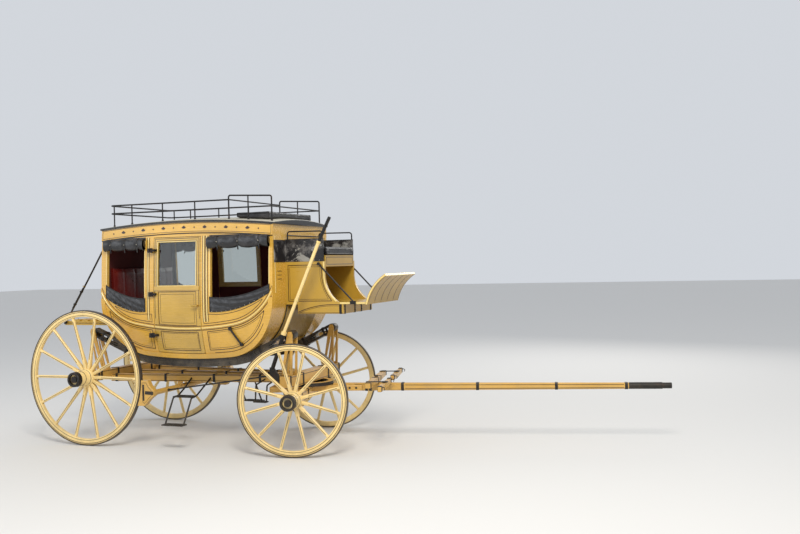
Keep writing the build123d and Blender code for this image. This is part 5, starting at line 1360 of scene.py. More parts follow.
# on the wall beside the boot: three short dashes, and a bead with its line
for z in (1.815, 1.775, 1.735):
    trim.append(ran([(body_front, 0.455, z), (body_front, 0.545, z)], 0.007, LINE_THICK, ALONG) + (1,))
trim.append(
    ran([(body_front, 0.592, 1.60), (body_front, 0.592, 2.17)], 0.010, 0.005, ALONG, 0.002) + (0,)
)
trim.append(ran([(body_front, 0.580, 1.60), (body_front, 0.580, 2.17)], 0.004, LINE_THICK, ALONG) + (1,))
trim += [mirrored(part) for part in trim]
# riser under the cushion: a line round its face
riser = [
    (BOOT_FRONT, -0.325, 1.872), (BOOT_FRONT, 0.325, 1.872), (BOOT_FRONT, 0.325, 1.945),
    (BOOT_FRONT, -0.325, 1.945)
]
trim.append(ran(riser, 0.006, LINE_THICK, ALONG, ring=True) + (1,))
nose, BEAM_TOP, BEAM_UNDER = at(2.850), 1.4702, 1.3748
for y in (-0.335, -0.085, 0.085, 0.335):
    band = [
        (nose - 0.055, y, BEAM_TOP), (nose, y, BEAM_TOP), (nose, y, BEAM_UNDER),
        (nose - 0.052, y, BEAM_UNDER)
    ]
    faces = unit(np.array([UPWARD, (1.0, 0.0, 1.0), (1.0, 0.0, -1.0), (0.0, 0.0, -1.0)]))
    trim.append(swept(np.array(band) + faces * 0.0018, rounded(0.028, 0.0045, 0.001, 1), faces) + (2,))
    for z in (1.400, 1.446):
        head = dome(0.0075, 0.005, (0.0, 0.0, 0.0))
        trim.append(
            moved(head, [[0.0, 1.0, 0.0], [1.0, 0.0, 0.0], [0.0, 0.0, -1.0]], (nose + 0.004, y, z)) + (2,)
        )
for y in (-0.379, 0.379):
    plate = [(nose - 0.030, y - 0.003 * np.sign(y), z) for z in (BEAM_UNDER, BEAM_TOP)]
    trim.append(ran(plate, 0.026, 0.005, (0.0, np.sign(y), 0.0), 0.001) + (2,))
piece("boot_trim", trim, [bead_cream, line_brown, black_iron], "coach")

# Boot belly
# A hide nailed under the boot and drawn round the body's lower corner to carry
# small bags; oiled yellow leather, creased where it sags, piped along its edges.

belly_hide = leather(
    "belly_hide", linear(128, 102, 44), linear(160, 136, 72), wear=0.5, scale=120.0, bump=0.7
)


def belly_surface(side_half, foot, top, proud):
    """Rows over y of a closed section: out along the corner arc with sag and creases, back along the
    body."""
    y = np.linspace(-side_half, side_half, 96)[:, None]
    low = math.asin((CORNER_Z - foot) / (CORNER + 0.002))
    high = math.asin((CORNER_Z - top) / (CORNER + 0.002))
    turn = np.linspace(low, high, 60)[None, :]
    t = (low - turn) / (low - high)
    u = y / side_half
    rim = np.minimum(np.minimum(t, 1.0 - t) * 7.0, (1.0 - np.abs(u)) * 9.0)
    rim = np.clip(rim, 0.0, 1.0) ** 0.6
    crease = np.sin(9.0 * t + 5.0 * u + 2.2 * np.sin(3.1 * u + 4.0 * t)) * 0.5 + 0.5
    drape = np.abs(np.sin(4.0 * u * (1.3 - t) + 6.5 * t)) ** 0.6
    wrinkle = np.sin(34.0 * t + 9.0 * np.sin(2.7 * u) + 4.0 * u) * 0.5 + 0.5
    stand = 0.006 + (proud - 0.008) * rim * (0.52 + 0.26 * crease + 0.16 * drape + 0.06 * wrinkle)
    sides = []
    for radius in (CORNER + stand, CORNER + 0.0006):
        x = BODY_X + CORNER_X + radius * np.cos(turn)
        sides.append(spread(x, y, CORNER_Z - radius * np.sin(turn)))
    return np.concatenate([sides[0], sides[1][:, ::-1]], 1), sides[0]


rows, front = belly_surface(0.358, 1.090, 1.466, 0.034)
belly = [skin(rows) + (0,)]
rim = np.concatenate([front[0], front[1:-1, -1], front[-1, ::-1], front[::-1][1:-1, 0]])
middle = np.array([BODY_X + CORNER_X, 0.0, CORNER_Z])
rim = evened(rim, 0.02, True)
belly.append(swept(rim, disc(0.0055, 8), rim - middle, ring=True) + (1,))
piece(
    "boot_belly_hide", belly, [belly_hide, black_strap], "coach", ["boot_belly"], sharp=60.0,
)

# Toe board
# Five oak planks bent over two cleats, standing up and forward from the boot
# floor for the driver's feet; joints lined dark, the top edge capped in cream.

toe_paint = painted(
    "toe_paint", linear(168, 134, 58), gloss=0.34, dust_top=1.0, dust_amount=0.1, wear=0.35, coated=0.1
)
inner = three_point((FLOOR_END, 1.470), (FLOOR_END + 0.075, 1.640), (FLOOR_END + 0.210, 1.765), 30)
outer = three_point(
    (FLOOR_END + 0.026, 1.470), (FLOOR_END + 0.096, 1.626), (FLOOR_END + 0.224, 1.744), 30
)
plank = 0.860 / 5.0
toe = []
ease = 0.003
for k in range(5):
    y0, y1 = -0.430 + k * plank, -0.430 + (k + 1) * plank - 0.0035
    section = []
    for p, q in zip(inner, outer):
        out = unit(q - p)
        a, b = p + out * ease, q - out * ease
        section.append(
            [
                (p[0], y0 + ease, p[1]), (p[0], y1 - ease, p[1]), (a[0], y1, a[1]), (b[0], y1, b[1]),
                (q[0], y1 - ease, q[1]), (q[0], y0 + ease, q[1]), (b[0], y0, b[1]), (a[0], y0, a[1])
            ]
        )
    toe.append(skin(np.array(section)) + (0,))
facing = np.gradient(outer, axis=0)
facing = spread(facing[:, 1], 0.0, -facing[:, 0])
square = unit(facing)
for y in (-0.412, -0.258, -0.086, 0.086, 0.258, 0.412):
    path = spread(outer[2:-1, 0], y, outer[2:-1, 1])
    path = path + square[2:-1] * 0.0003
    wide = 0.0075 if abs(y) < 0.4 else 0.005
    toe.append(swept(path, rounded(wide, 0.0016, 0.0005, 1), facing[2:-1]) + (2,))
cap = [(FLOOR_END + 0.2145, -0.428, 1.7555), (FLOOR_END + 0.2145, 0.428, 1.7555)]
toe.append(ran(cap, 0.026, 0.006, (0.83, 0.0, 0.55), 0.0025) + (1,))
middle_line = (inner + outer) / 2.0
for y, out in ((-0.430, -1.0), (0.430, 1.0)):
    toe.append(ran(on_plane(middle_line, y), 0.016, 0.0035, (0.0, out, 0.0), 0.0012) + (1,))
for y in (-0.30, 0.30):
    cleat = spread(inner[3:-3, 0], y, inner[3:-3, 1])
    cleat = cleat - square[3:-3] * 0.002
    toe.append(swept(cleat, rounded(0.034, 0.006, 0.002, 2), -facing[3:-3]) + (3,))
piece(
    "toe_board_planks", toe, [toe_paint, bead_cream, line_brown, black_iron], "coach", ["toe_board"],
)
eased("boot_stays", "boot_stay_rods", 0.0, black_iron)

# Driver's seat
# Harness leather panels on an iron frame close the seat's sides; a stuffed
# leather cushion lies on the deck behind the riser, welted along its edges.

seat_panel_hide = leather(
    "seat_panel_hide", linear(34, 32, 33), linear(142, 138, 134), wear=0.9, scale=140.0, bump=0.6
)
tree = seat_panel_hide.node_tree
hide = next(part for part in tree.nodes if part.type == "GROUP" and part.node_tree == leather_grain)
place = own_space(tree)
cracks = noise(tree, place, {"Scale": 5.5, "Detail": 10.0, "Roughness": 0.62, "Distortion": 0.6})
gone = ranged(tree, cracks.outputs["Fac"], 0.54, 0.575, 0.0, 0.85)
bald = blend(tree, gone.outputs[0], hide.outputs["Colour"], linear(150, 148, 142))
tree.links.new(bald.outputs[2], tree.nodes["Principled BSDF"].inputs["Base Color"])
SEAT_HALF, SEAT_TOP, SEAT_FRONT = 0.378, 2.130, at(2.645)
eased("seat_box", "seat_panels", 0.004, seat_panel_hide)
binding = []
for y in (SEAT_HALF, -SEAT_HALF):
    out = np.sign(y)
    binding.append(
        ran(
            [(BOOT_REAR + 0.006, y - out * 0.009, SEAT_TOP), (SEAT_FRONT, y - out * 0.009, SEAT_TOP)],
            0.022, 0.007, UPWARD, 0.003
        ) + (0,)
    )
    for x in np.arange(BOOT_REAR + 0.025, SEAT_FRONT - 0.01, 0.052):
        nail = dome(0.005, 0.0032, (0.0, 0.0, 0.0))
        binding.append(set_out(nail, out, (x, y, BOOT_TOP + 0.012)) + (1,))
piece("seat_panel_binding", binding, [black_strap, tinned], "coach")

pad_leather = leather("pad_leather", linear(29, 27, 28), linear(86, 82, 80), wear=0.34, bump=0.6)


CLOTH_FRAMES, BOX_MARGIN = 15, 0.0005


def stuffed(cad_node, name, material, draw_in, cap, voxel):
    """A hide sewn over the CAD pad and blown up: a voxel mesh drawn in by draw_in swells under pressure.
    No point moves more than cap from where it started, and none leaves the pad's own box."""
    source = frame["nodes"][cad_node]
    made = shown(name, source.data.copy())
    weld = made.modifiers.new("weld", "WELD")
    weld.merge_threshold = 0.0001
    grid = made.modifiers.new("grid", "REMESH")
    grid.mode = "VOXEL"
    grid.voxel_size = voxel
    relax = made.modifiers.new("relax", "SMOOTH")
    relax.factor = 0.5
    relax.iterations = 6
    fine = bpy.data.meshes.new_from_object(made.evaluated_get(bpy.context.evaluated_depsgraph_get()))
    made.modifiers.clear()
    made.data = fine
    normal = values_of(fine.vertices, "normal")
    low, high = (np.array(corner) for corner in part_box(cad_node))
    start = values_of(fine.vertices, "co") - normal * draw_in
    fine.vertices.foreach_set("co", start.ravel())
    fine.update()
    placed = start + normal * draw_in * 0.6
    air = made.modifiers.new("air", "CLOTH")
    air.settings.use_pressure = True
    air.settings.uniform_pressure_force = 4.0
    air.settings.effector_weights.gravity = 0.0
    air.settings.quality = 4
    air.collision_settings.use_collision = False
    for frame_number in range(1, CLOTH_FRAMES):
        bpy.context.scene.frame_set(frame_number)
    blown = made.evaluated_get(bpy.context.evaluated_depsgraph_get())
    placed = values_of(blown.data.vertices, "co")
    made.modifiers.clear()
    bpy.context.scene.frame_set(1)
    shift = placed - start
    reach = np.linalg.norm(shift, axis=1, keepdims=True)
    placed = start + shift * np.minimum(1.0, cap / np.maximum(reach, 1e-9))
    placed = np.clip(placed, low + BOX_MARGIN, high - BOX_MARGIN)
    fine.vertices.foreach_set("co", placed.ravel())
    fine.update()
    fine.materials.clear()
    fine.materials.append(material)
    fine.shade_smooth()
    smooth = made.modifiers.new("smooth", "SUBSURF")
    smooth.levels = 1
    smooth.render_levels = 1
    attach(made, source["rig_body"])
    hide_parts(cad_node)
    return made, low, high


def pressed(made, axis, places, depth, width, side=UPWARD):
    """Sewn channels: the hide sinks by depth in grooves across the axis at the given places, where it
    faces side."""
    mesh = made.data
    points, normal = values_of(mesh.vertices, "co"), values_of(mesh.vertices, "normal")
    near = np.exp(-((points[:, axis][:, None] - np.array(places)[None, :]) / width) ** 2).max(1)
    facing = np.clip(normal @ np.array(side), 0.0, 1.0)
    points -= (near * facing * depth)[:, None] * np.array(side)
    mesh.vertices.foreach_set("co", points.ravel())
    mesh.update()


def welted(made, path, radius=0.0042, away=0.0015):
    """Piping laid on a stuffed hide: each point of the path is brought to the nearest place on the
    hide."""
    path = evened(path, 0.018, True)
    tree = BVHTree.FromObject(made, bpy.context.evaluated_depsgraph_get())
    found = [tree.find_nearest(point.tolist()) for point in path]
    points = np.array([hit[0] for hit in found])
    normals = np.array([hit[1] for hit in found])
    for _ in range(3):
        points = (np.roll(points, 1, 0) + points * 2.0 + np.roll(points, -1, 0)) / 4.0
    return swept(points + normals * away, disc(radius, 8), normals, ring=True)


def round_corners(x0, x1, y0, y1, z, corner=0.03):
    """A level rectangle with rounded corners, as points in space."""
    flat = rounded(x1 - x0, y1 - y0, corner, 4)
    return np.concatenate([flat + ((x0 + x1) / 2.0, (y0 + y1) / 2.0), np.full((len(flat), 1), z)], 1)


driver_pad, low, high = stuffed(
    "driver_cushion", "driver_cushion_hide", pad_leather, 0.008, 0.014, 0.0095
)
welts = [
    welted(
        driver_pad, round_corners(low[0] + 0.010, high[0] - 0.010, low[1] + 0.010, high[1] - 0.010, z)
    ) + (0,) for z in (high[2] - 0.020, low[2] + 0.016)
]
piece("driver_cushion_welts", welts, [black_strap], "coach")
eased("seat_rail", "seat_rail_rods", 0.0, black_iron)

# Benches
# Three cross seats: boarded ones at both ends with stuffed leather squabs and
# backs, and a folding middle board on turned legs with a leather back strap.

for name in ("bench_rear", "bench_front", "bench_middle"):
    eased(name, name + "_boards", 0.003, brown_wood)
red_leather = leather("red_leather", linear(92, 26, 22), linear(150, 84, 66), wear=0.3)
red_piping = leather("red_piping", linear(64, 18, 16), linear(120, 60, 48), wear=0.2)
for name, facing in (("rear", 1.0), ("front", -1.0)):
    squab, low, high = stuffed(
        "seat_leather_" + name, "seat_leather_%s_hide" % name, red_leather, 0.009, 0.013, 0.013,
    )
    pressed(squab, 1, (-0.373, -0.187, 0.0, 0.187, 0.373), 0.010, 0.014, (facing * 0.7, 0.0, 0.71))
    nose_x = high[0] - 0.012 if facing > 0.0 else low[0] + 0.012
    welt = (
        [(nose_x, y, low[2] + 0.062) for y in (-0.535, 0.535)]
        + [(nose_x, y, low[2] + 0.012) for y in (0.535, -0.535)]
    )
    piece(
        "seat_leather_%s_welt" % name, [welted(squab, welt) + (0,)], [red_piping], "coach",
    )

# Roof seat
# A stuffed black hide on the roof behind the driver, sewn in four pads, with a
# welt round it just under its upper edge.

roof_pad, low, high = stuffed("roof_cushion", "roof_cushion_hide", pad_leather, 0.008, 0.013, 0.0115)
pressed(roof_pad, 1, (-0.25, 0.0, 0.25), 0.011, 0.013)
welt = [
    (high[0] - 0.010, low[1] + 0.012), (high[0] - 0.010, high[1] - 0.012),
    (low[0] + 0.010, high[1] - 0.012), (low[0] + 0.010, low[1] + 0.012)
]
welt = [(x, y, high[2] - 0.018) for x, y in welt]
piece("roof_cushion_welt", [welted(roof_pad, welt) + (0,)], [black_strap], "coach")

# Rear rack
# Ash side rails and slats behind the body for trunks, its free end hung from
# the roof's corners by two long straps, each with a brass buckle.

eased("rear_rack", "rear_rack_slats", 0.004, boot_paint)
brass = forged(
    "worn_brass", linear(196, 160, 84), rust=0.12, rough=0.3, metallic=0.95, wear=0.3, dust_amount=0.1
)
RACK_END, STRAP_Y = AXLE_X - 0.570, 0.439
strap_top, strap_low = np.array((body_rear - 0.012, 2.285)), np.array((RACK_END + 0.025, 1.290))
hang = []
reach = np.linspace(0.0, 1.0, 40)
sag = on_plane(strap_top + (strap_low - strap_top) * reach[:, None], STRAP_Y)
sag[:, 0] += 0.006 * np.sin(np.pi * reach)
slope = unit(strap_low - strap_top)
square = np.array([-slope[1], 0.0, slope[0]])
hang.append(swept(sag, rounded(0.028, 0.005, 0.0016, 2), square) + (0,))
lap = sag[24:34] + square * -0.0055
hang.append(swept(lap, rounded(0.028, 0.005, 0.0016, 2), square) + (0,))
for at_share in (0.60, 0.66, 0.80):
    middle = on_plane([strap_top + (strap_low - strap_top) * at_share], STRAP_Y)[0] + square * -0.002
    around = rounded(0.036, 0.018, 0.004, 3)
    path = middle + around[:, :1] * np.array(ACROSS) + around[:, 1:] * square
    number = 1 if at_share < 0.61 else 0
    section = rounded(0.004, 0.005, 0.001, 1) if number else rounded(0.003, 0.014, 0.001, 1)
    hang.append(swept(path, section, (slope[0], 0.0, slope[1]), ring=True) + (number,))
eye = three_point(
    (body_rear - 0.0005, 2.262), (body_rear - 0.020, 2.276), (body_rear - 0.0005, 2.290), 14
)
hang.append(swept(on_plane(eye, STRAP_Y), disc(0.005, 8), ACROSS) + (2,))
hang.append(
    ran(
        [(body_rear, STRAP_Y, 2.252), (body_rear, STRAP_Y, 2.300)], 0.030, 0.004, (-1.0, 0.0, 0.0), 0.001
    ) + (2,)
)
pin = turned_on_y(
    [(0.425, 0.002), (0.425, 0.009), (0.452, 0.009), (0.452, 0.014), (0.457, 0.014), (0.457, 0.002)], 20
)
hang.append((pin[0] + (RACK_END + 0.025, 0.0, 1.280), pin[1], 2))
hang += [mirrored(part) for part in hang]
piece(
    "rack_hanger_straps", hang, [black_strap, brass, black_iron], "coach", ["rack_straps"],
)
irons = []
for y in (-0.401, 0.401):
    for x in RACK_END + np.array((0.025, 0.165, 0.275, 0.385, 0.495, 0.605)):
        top = 1.300 if x < RACK_END + 0.03 else 1.320
        bolt = turned_on_y(
            [(-0.0015, 0.0012), (-0.0015, 0.010), (0.0025, 0.009), (0.0045, 0.004), (0.0050, 0.0008)], 14
        )
        irons.append(
            moved(bolt, [[1.0, 0.0, 0.0], [0.0, 0.0, -1.0], [0.0, 1.0, 0.0]], (x, y, top)) + (0,)
        )
piece("rack_bolts", irons, [black_iron], "coach")
lines = []
for y in (0.425, -0.425):
    lines.append(
        ran(
            [(RACK_END + 0.012, y, 1.2775), (body_rear - 0.02, y, 1.2775)], 0.006, LINE_THICK,
            (0.0, np.sign(y), 0.0)
        ) + (0,)
    )
piece("rack_lining", lines, [line_brown], "coach")

# Rear panel's mouldings
# A half-round ash moulding framing the body's back, painted cream and lined
# brown inside, with the belt rail carried across from the two sides.


def rear_frame(inset, top, count, wide, thick):
    """A closed frame on the rear panel, inset from both sides: each point stands out along the panel's
    own normal."""
    down = outline(0.0, top)[:count]
    run = unit(np.gradient(down, axis=0))
    outward = np.stack([run[:, 1], -run[:, 0]], -1)
    left = spread(down[:, 0], side_y(down[:, 1], roof_half=EAVE_HALF) - inset, down[:, 1])
    ring = evened(np.concatenate([left, left[::-1] * (1.0, -1.0, 1.0)]), 0.03, True)
    ahead = np.interp(ring[:, 2], down[::-1, 1], outward[::-1, 0])
    face = spread(ahead, 0.0, np.interp(ring[:, 2], down[::-1, 1], outward[::-1, 1]))
    return swept(
        ring + face * (thick / 2.0 - LET_IN), rounded(wide, thick, thick * 0.3, 2), face, ring=True
    )


belt = float(belt_z(np.array(body_rear + 0.01)))
reach = float(side_y(np.array(belt), roof_half=EAVE_HALF)) - 0.052
rear_trim = [
    rear_frame(0.040, 2.215, 20, 0.016, 0.007) + (0,),
    rear_frame(0.062, 2.193, 19, 0.006, LINE_THICK) + (1,)
]
rear_trim.append(
    ran(
        [(body_rear, -reach, belt), (body_rear, reach, belt)], 0.020, 0.008, (-1.0, 0.0, 0.0), 0.003
    ) + (0,)
)
for rise in (-0.022, 0.022):
    rear_trim.append(
        ran(
            [(body_rear, 0.014 - reach, belt + rise), (body_rear, reach - 0.014, belt + rise)], 0.006,
            LINE_THICK, (-1.0, 0.0, 0.0)
        ) + (1,)
    )
piece("rear_panel_mouldings", rear_trim, [bead_cream, line_brown], "coach")

# Brake
# A beam across under the perches with a block shoe ahead of each rear tyre,
# pulled by the driver's long lever: ash pole, iron foot, leather-bound grip.

eased("brake_beam", "brake_beam_work", 0.004, carriage_paint)
low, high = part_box("brake_beam")
shoe_x, shoe_z = high[0] - 0.030, low[2] + 0.135
shoe_line = np.array(
    [
        (-0.108, -0.095), (-0.086, -0.108), (-0.035, -0.055), (0.008, -0.018), (0.008, 0.018),
        (-0.038, 0.062), (-0.062, 0.105), (-0.112, 0.105)
    ]
)
shoe_irons = []
TREAD_Y, SHOE_HALF = 0.7875, 0.030
for tread in (TREAD_Y, -TREAD_Y):
    for sign in (1.0, -1.0):
        face = np.array([0.0, sign, 0.0])
        y = tread + sign * SHOE_HALF
        shoe_irons.append(
            ran(
                [(shoe_x + 0.024, y, shoe_z), (shoe_x - 0.075, y, shoe_z + 0.004)], 0.034, 0.005, face,
                0.0015
            ) + (0,)
        )
        shoe_irons.append(
            ran(
                [(shoe_x - 0.096, y, shoe_z + 0.086), (shoe_x - 0.096, y, shoe_z - 0.080)], 0.018, 0.004,
                face, 0.001
            ) + (0,)
        )
        ring = spread(shoe_x + shoe_line[:, 0], y, shoe_z + shoe_line[:, 1])
        shoe_irons.append(ran(ring, 0.004, LINE_THICK, face, 0.0004, ring=True) + (1,))
        for x, z in ((0.012, 0.001), (-0.022, 0.002), (-0.060, 0.003), (-0.096, 0.060), (-0.096, -0.055)):
            head = dome(0.0075, 0.0045, (shoe_x + x, 0.0, shoe_z + z))
            shoe_irons.append(set_out(head, sign, (0.0, y + sign * 0.0042, 0.0)) + (0,))
piece("brake_shoe_irons", shoe_irons, [black_iron, line_brown], "coach")
lever = eased("brake_lever", "brake_lever_pole", 0.0025, wheel_paint)
LEVER_Y = -0.588
COLLAR_AT, GRIP_AT = np.array((at(2.290), 1.194)), np.array((at(2.702), 2.104))
TOP = np.array((at(2.822), 2.335))
lever.data.materials.append(black_iron)
lever.data.materials.append(black_strap)
middles = faces_of(lever)[0]
run_of = unit(GRIP_AT - COLLAR_AT)
rise_of = (middles[:, [0, 2]] - COLLAR_AT) @ run_of
number = np.where(rise_of > np.linalg.norm(GRIP_AT - COLLAR_AT) - 0.002, 2, 0)
number = np.where((middles[:, 2] < 1.150) | (middles[:, 1] > LEVER_Y + 0.030), 1, number)
numbered(lever, number)


def wrapped(a, b, y, radius, turns, wide):
    """A narrow thong wound as a helix round a straight pole from a to b in side view."""
    t = np.linspace(0.0, 1.0, turns * 18)[:, None]
    a3, b3 = np.array([a[0], y, a[1]]), np.array([b[0], y, b[1]])
    over = np.array(ACROSS)
    cross = np.cross(unit(b3 - a3), over)
    angle = t * turns * 2.0 * np.pi
    out = np.cos(angle) * over + np.sin(angle) * cross
    return swept(a3 + (b3 - a3) * t + out * radius, rounded(wide, 0.0028, 0.0009, 1), out)


grip = [
    wrapped(
        GRIP_AT + (TOP - GRIP_AT) * 0.02, GRIP_AT + (TOP - GRIP_AT) * 0.97, LEVER_Y, 0.0155, 26, 0.0085
    ) + (0,)
]
for share, number, half in ((0.0, 1, 0.010), (0.36, 1, 0.008), (0.72, 1, 0.008), (0.985, 1, 0.010)):
    centre = COLLAR_AT + (GRIP_AT - COLLAR_AT) * share
    ring = turned_on_y(
        [
            (-half, 0.017), (-half, 0.0205), (-half * 0.4, 0.0222), (half * 0.4, 0.0222), (half, 0.0205),
            (half, 0.017)
        ],
        24
    )
    lean = math.atan2(run_of[0], run_of[1])
    turn = np.array(
        [[math.cos(lean), math.sin(lean), 0.0], [0.0, 0.0, 1.0], [-math.sin(lean), math.cos(lean), 0.0]]
    )
    grip.append(moved(ring, turn, (centre[0], LEVER_Y, centre[1])) + (number,))
for sign in (-1.0, 1.0):
    a = COLLAR_AT + run_of * 0.03
    b = GRIP_AT - run_of * 0.03
    cross_line = np.array([run_of[1], -run_of[0]]) * sign * 0.0175
    path = on_plane([a + cross_line, b + cross_line], LEVER_Y - 0.002)
    grip.append(
        swept(
            evened(path, 0.05), rounded(0.0035, 0.0016, 0.0005, 1), (cross_line[0], 0.0, cross_line[1])
        ) + (2,)
    )
piece("brake_lever_binding", grip, [black_strap, bead_cream, line_brown], "coach")

# Steps and irons of the body
# Forged steps hung from the perches below each door, with a stirrup for the
# driver; rub irons keep the front tyres off the body in a tight turn.

for name in ("side_irons", "steps_left", "steps_right"):
    eased(name, name + "_forged", 0.0, black_iron)
studs = []
for s in (1.0, -1.0):
    for rear, front, y0, y1, z in (
        (at(1.010), at(1.230), 0.560, 0.660, 0.536), (at(1.010), at(1.230), 0.760, 0.850, 0.274),
        (at(1.850), at(1.980), 0.390, 0.450, 0.476)
    ):
        for row in np.linspace(y0 + 0.014, y1 - 0.014, 3 if y1 - y0 > 0.07 else 2):
            rib = [(rear + 0.014, s * row, z), (front - 0.014, s * row, z)]
            studs.append(ran(rib, 0.007, 0.004, UPWARD, 0.0015) + (0,))
piece("step_tread_ribs", studs, [black_iron], "coach")

# Irons and lining of the carriage
# Clips, ferrules, bands and bolts forged round the timbers once the gear is put
# together, and the brown stripes drawn along them last.

def turned_part(part):
    """A part of the front carriage, as built straight ahead about the king bolt, set to its resting
    turn."""
    return moved(part, about_z(STEER), (KING_X, 0.0, 0.0))


def straightened(points):
    """The reverse for points: from rest back to the carriage straight ahead, about the king bolt."""
    return (np.asarray(points) - (KING_X, 0.0, 0.0)) @ about_z(STEER)


def second_skin(name, material, chosen):
    """Give the faces of a piece that chosen(points) picks, by their middles, a second material."""
    made = bpy.data.objects[name]
    made.data.materials.append(material)
    numbered(made, chosen(faces_of(made)[0]))


def clip(centre, run_to, wide, high, broad=0.028, thick=0.004, corner=0.006):
    """A flat iron band bent round a timber whose section is wide across and high, square to run_to."""
    along_it = unit(np.asarray(run_to, dtype=float))
    across = np.cross(UPWARD, along_it)
    around = rounded(wide + thick, high + thick, corner, 3)
    path = np.asarray(centre) + around[:, :1] * across + around[:, 1:] * np.array(UPWARD)
    return swept(path, rounded(thick, broad, 0.001, 1), along_it, ring=True)


BED_END, POLE_Z = 0.6005, 0.578
second_skin("rear_axle_bed", black_iron, lambda p: np.abs(p[:, 1]) > BED_END)
second_skin("front_axle_bed", black_iron, lambda p: np.abs(straightened(p)[:, 1]) > BED_END)
second_skin("front_bolster_beam", black_iron, lambda p: p[:, 2] < 0.6448)
second_skin("hound_arms", black_iron, lambda p: p[:, 2] > 0.6055)
second_skin("evener_bar_wood", black_iron, lambda p: (p[:, 2] > 0.6820) | (straightened(p)[:, 0] > 0.760))
second_skin("draught_pole", black_iron, lambda p: p[:, 2] > 0.6250)

PERCH_LOW, PERCH_HIGH = 0.640, 0.720
perch_x = np.array((AXLE_X + 0.045, KING_X - 0.060))
slant = np.array([0.260, perch_x[1] - perch_x[0], 0.0]) / math.hypot(0.260, perch_x[1] - perch_x[0])


def perch_at(x, s):
    """Middle of a perch at station x: the side ones close in from 400 to 140 mm off the middle."""
    return s * np.interp(x, perch_x, (0.400, 0.140))


gear = []
for s in (-1.0, 0.0, 1.0):
    half = 0.0275 if s else 0.030
    for out in (-1.0, 1.0):
        face = np.array([slant[0] * s * out, slant[1] * out, 0.0]) if s else np.array([0.0, out, 0.0])
        for z in (PERCH_LOW + 0.011, PERCH_HIGH - 0.011):
            ends = [(x, perch_at(x, s) + out * half, z) for x in perch_x + (0.012, -0.012)]
            gear.append(ran(ends, 0.0065, LINE_THICK, face, step=0.2) + (1,))
    for share in (0.03, 0.30, 0.56, 0.80, 0.97):
        x = perch_x[0] + share * (perch_x[1] - perch_x[0])
        gear.append(
            clip(
                (x, perch_at(x, s), (PERCH_LOW + PERCH_HIGH) / 2.0), (slant[1], -slant[0] * s, 0.0),
                2.0 * half, 0.080
            ) + (0,)
        )
# lines along both faces of the axle bed and of the bolster
for out in (-1.0, 1.0):
    for x, half, heights in (
        (AXLE_X + out * 0.045, 0.590, (0.684, 0.760)), (KING_X + out * 0.060, 0.580, (0.658, 0.752))
    ):
        for z in heights:
            ends = [(x, -half, z), (x, half, z)]
            gear.append(ran(ends, 0.006, LINE_THICK, (out, 0.0, 0.0), step=0.2) + (1,))
# clips round the axle bed and the bolster
for y in (-0.580, -0.300, 0.300, 0.580):
    gear.append(clip((AXLE_X, y, 0.722), ACROSS, 0.090, 0.100) + (0,))
    gear.append(clip((KING_X, y, 0.705), ACROSS, 0.120, 0.120) + (0,))
piece("coach_gear_irons", gear, [black_iron, line_brown], "coach")

front = []
for out in (-1.0, 1.0):
    for z in (0.517, 0.593):
        ends = [(out * 0.048, -0.590, z), (out * 0.048, 0.590, z)]
        front.append(turned_part(ran(ends, 0.006, LINE_THICK, (out, 0.0, 0.0), step=0.2)) + (1,))
for y in (-0.580, -0.330, 0.330, 0.580):
    front.append(turned_part(clip((0.0, y, 0.555), ACROSS, 0.096, 0.100)) + (0,))


POLE_ENDS = (0.245, 3.280)


def pole_size(x):
    """Width and height of the tapering pole at x ahead of the king bolt."""
    return np.interp(x, POLE_ENDS, (0.088, 0.062)), np.interp(x, POLE_ENDS, (0.080, 0.062))


for x in (0.600, 0.640, 0.980, 1.760, 2.560, 3.255):
    wide, high = pole_size(x)
    front.append(turned_part(clip((x, 0.0, POLE_Z), ALONG, wide, high, 0.030, 0.0035, 0.014)) + (0,))
for out in (-1.0, 1.0):
    for share in (-0.26, 0.26):
        x = np.linspace(1.010, 3.230, 12)
        wide, high = pole_size(x)
        ends = spread(x, out * wide / 2.0, POLE_Z + share * high)
        front.append(turned_part(ran(ends, 0.0055, LINE_THICK, (0.0, out, 0.0), step=0.3)) + (1,))
    for x in (0.290, 0.360, 0.430, 0.500):
        bolt = turned_on_y(
            [(-0.001, 0.0012), (-0.001, 0.012), (0.004, 0.011), (0.007, 0.006), (0.008, 0.0008)], 14
        )
        front.append(turned_part(set_out(bolt, out, (x, out * 0.092, 0.577))) + (0,))
piece("front_carriage_irons", front, [black_iron, line_brown], "front_carriage")


def hook(at_point, out_to, ring_radius=0.015, bar=0.0038):
    """A forged hook: three quarters of a ring standing ahead of a ferrule, its eye upright."""
    turn = np.linspace(math.radians(180.0), math.radians(-75.0), 22)
    out_to = np.asarray(out_to, dtype=float)
    path = np.asarray(at_point) + out_to * (ring_radius + ring_radius * np.cos(turn))[:, None]
    path = path + np.array(UPWARD) * (ring_radius * np.sin(turn))[:, None]
    taper = np.interp(np.arange(22), (0, 16, 21), (1.0, 1.0, 0.55))
    return swept(path, disc(bar, 8), np.cross(out_to, UPWARD), scale=taper[:, None])


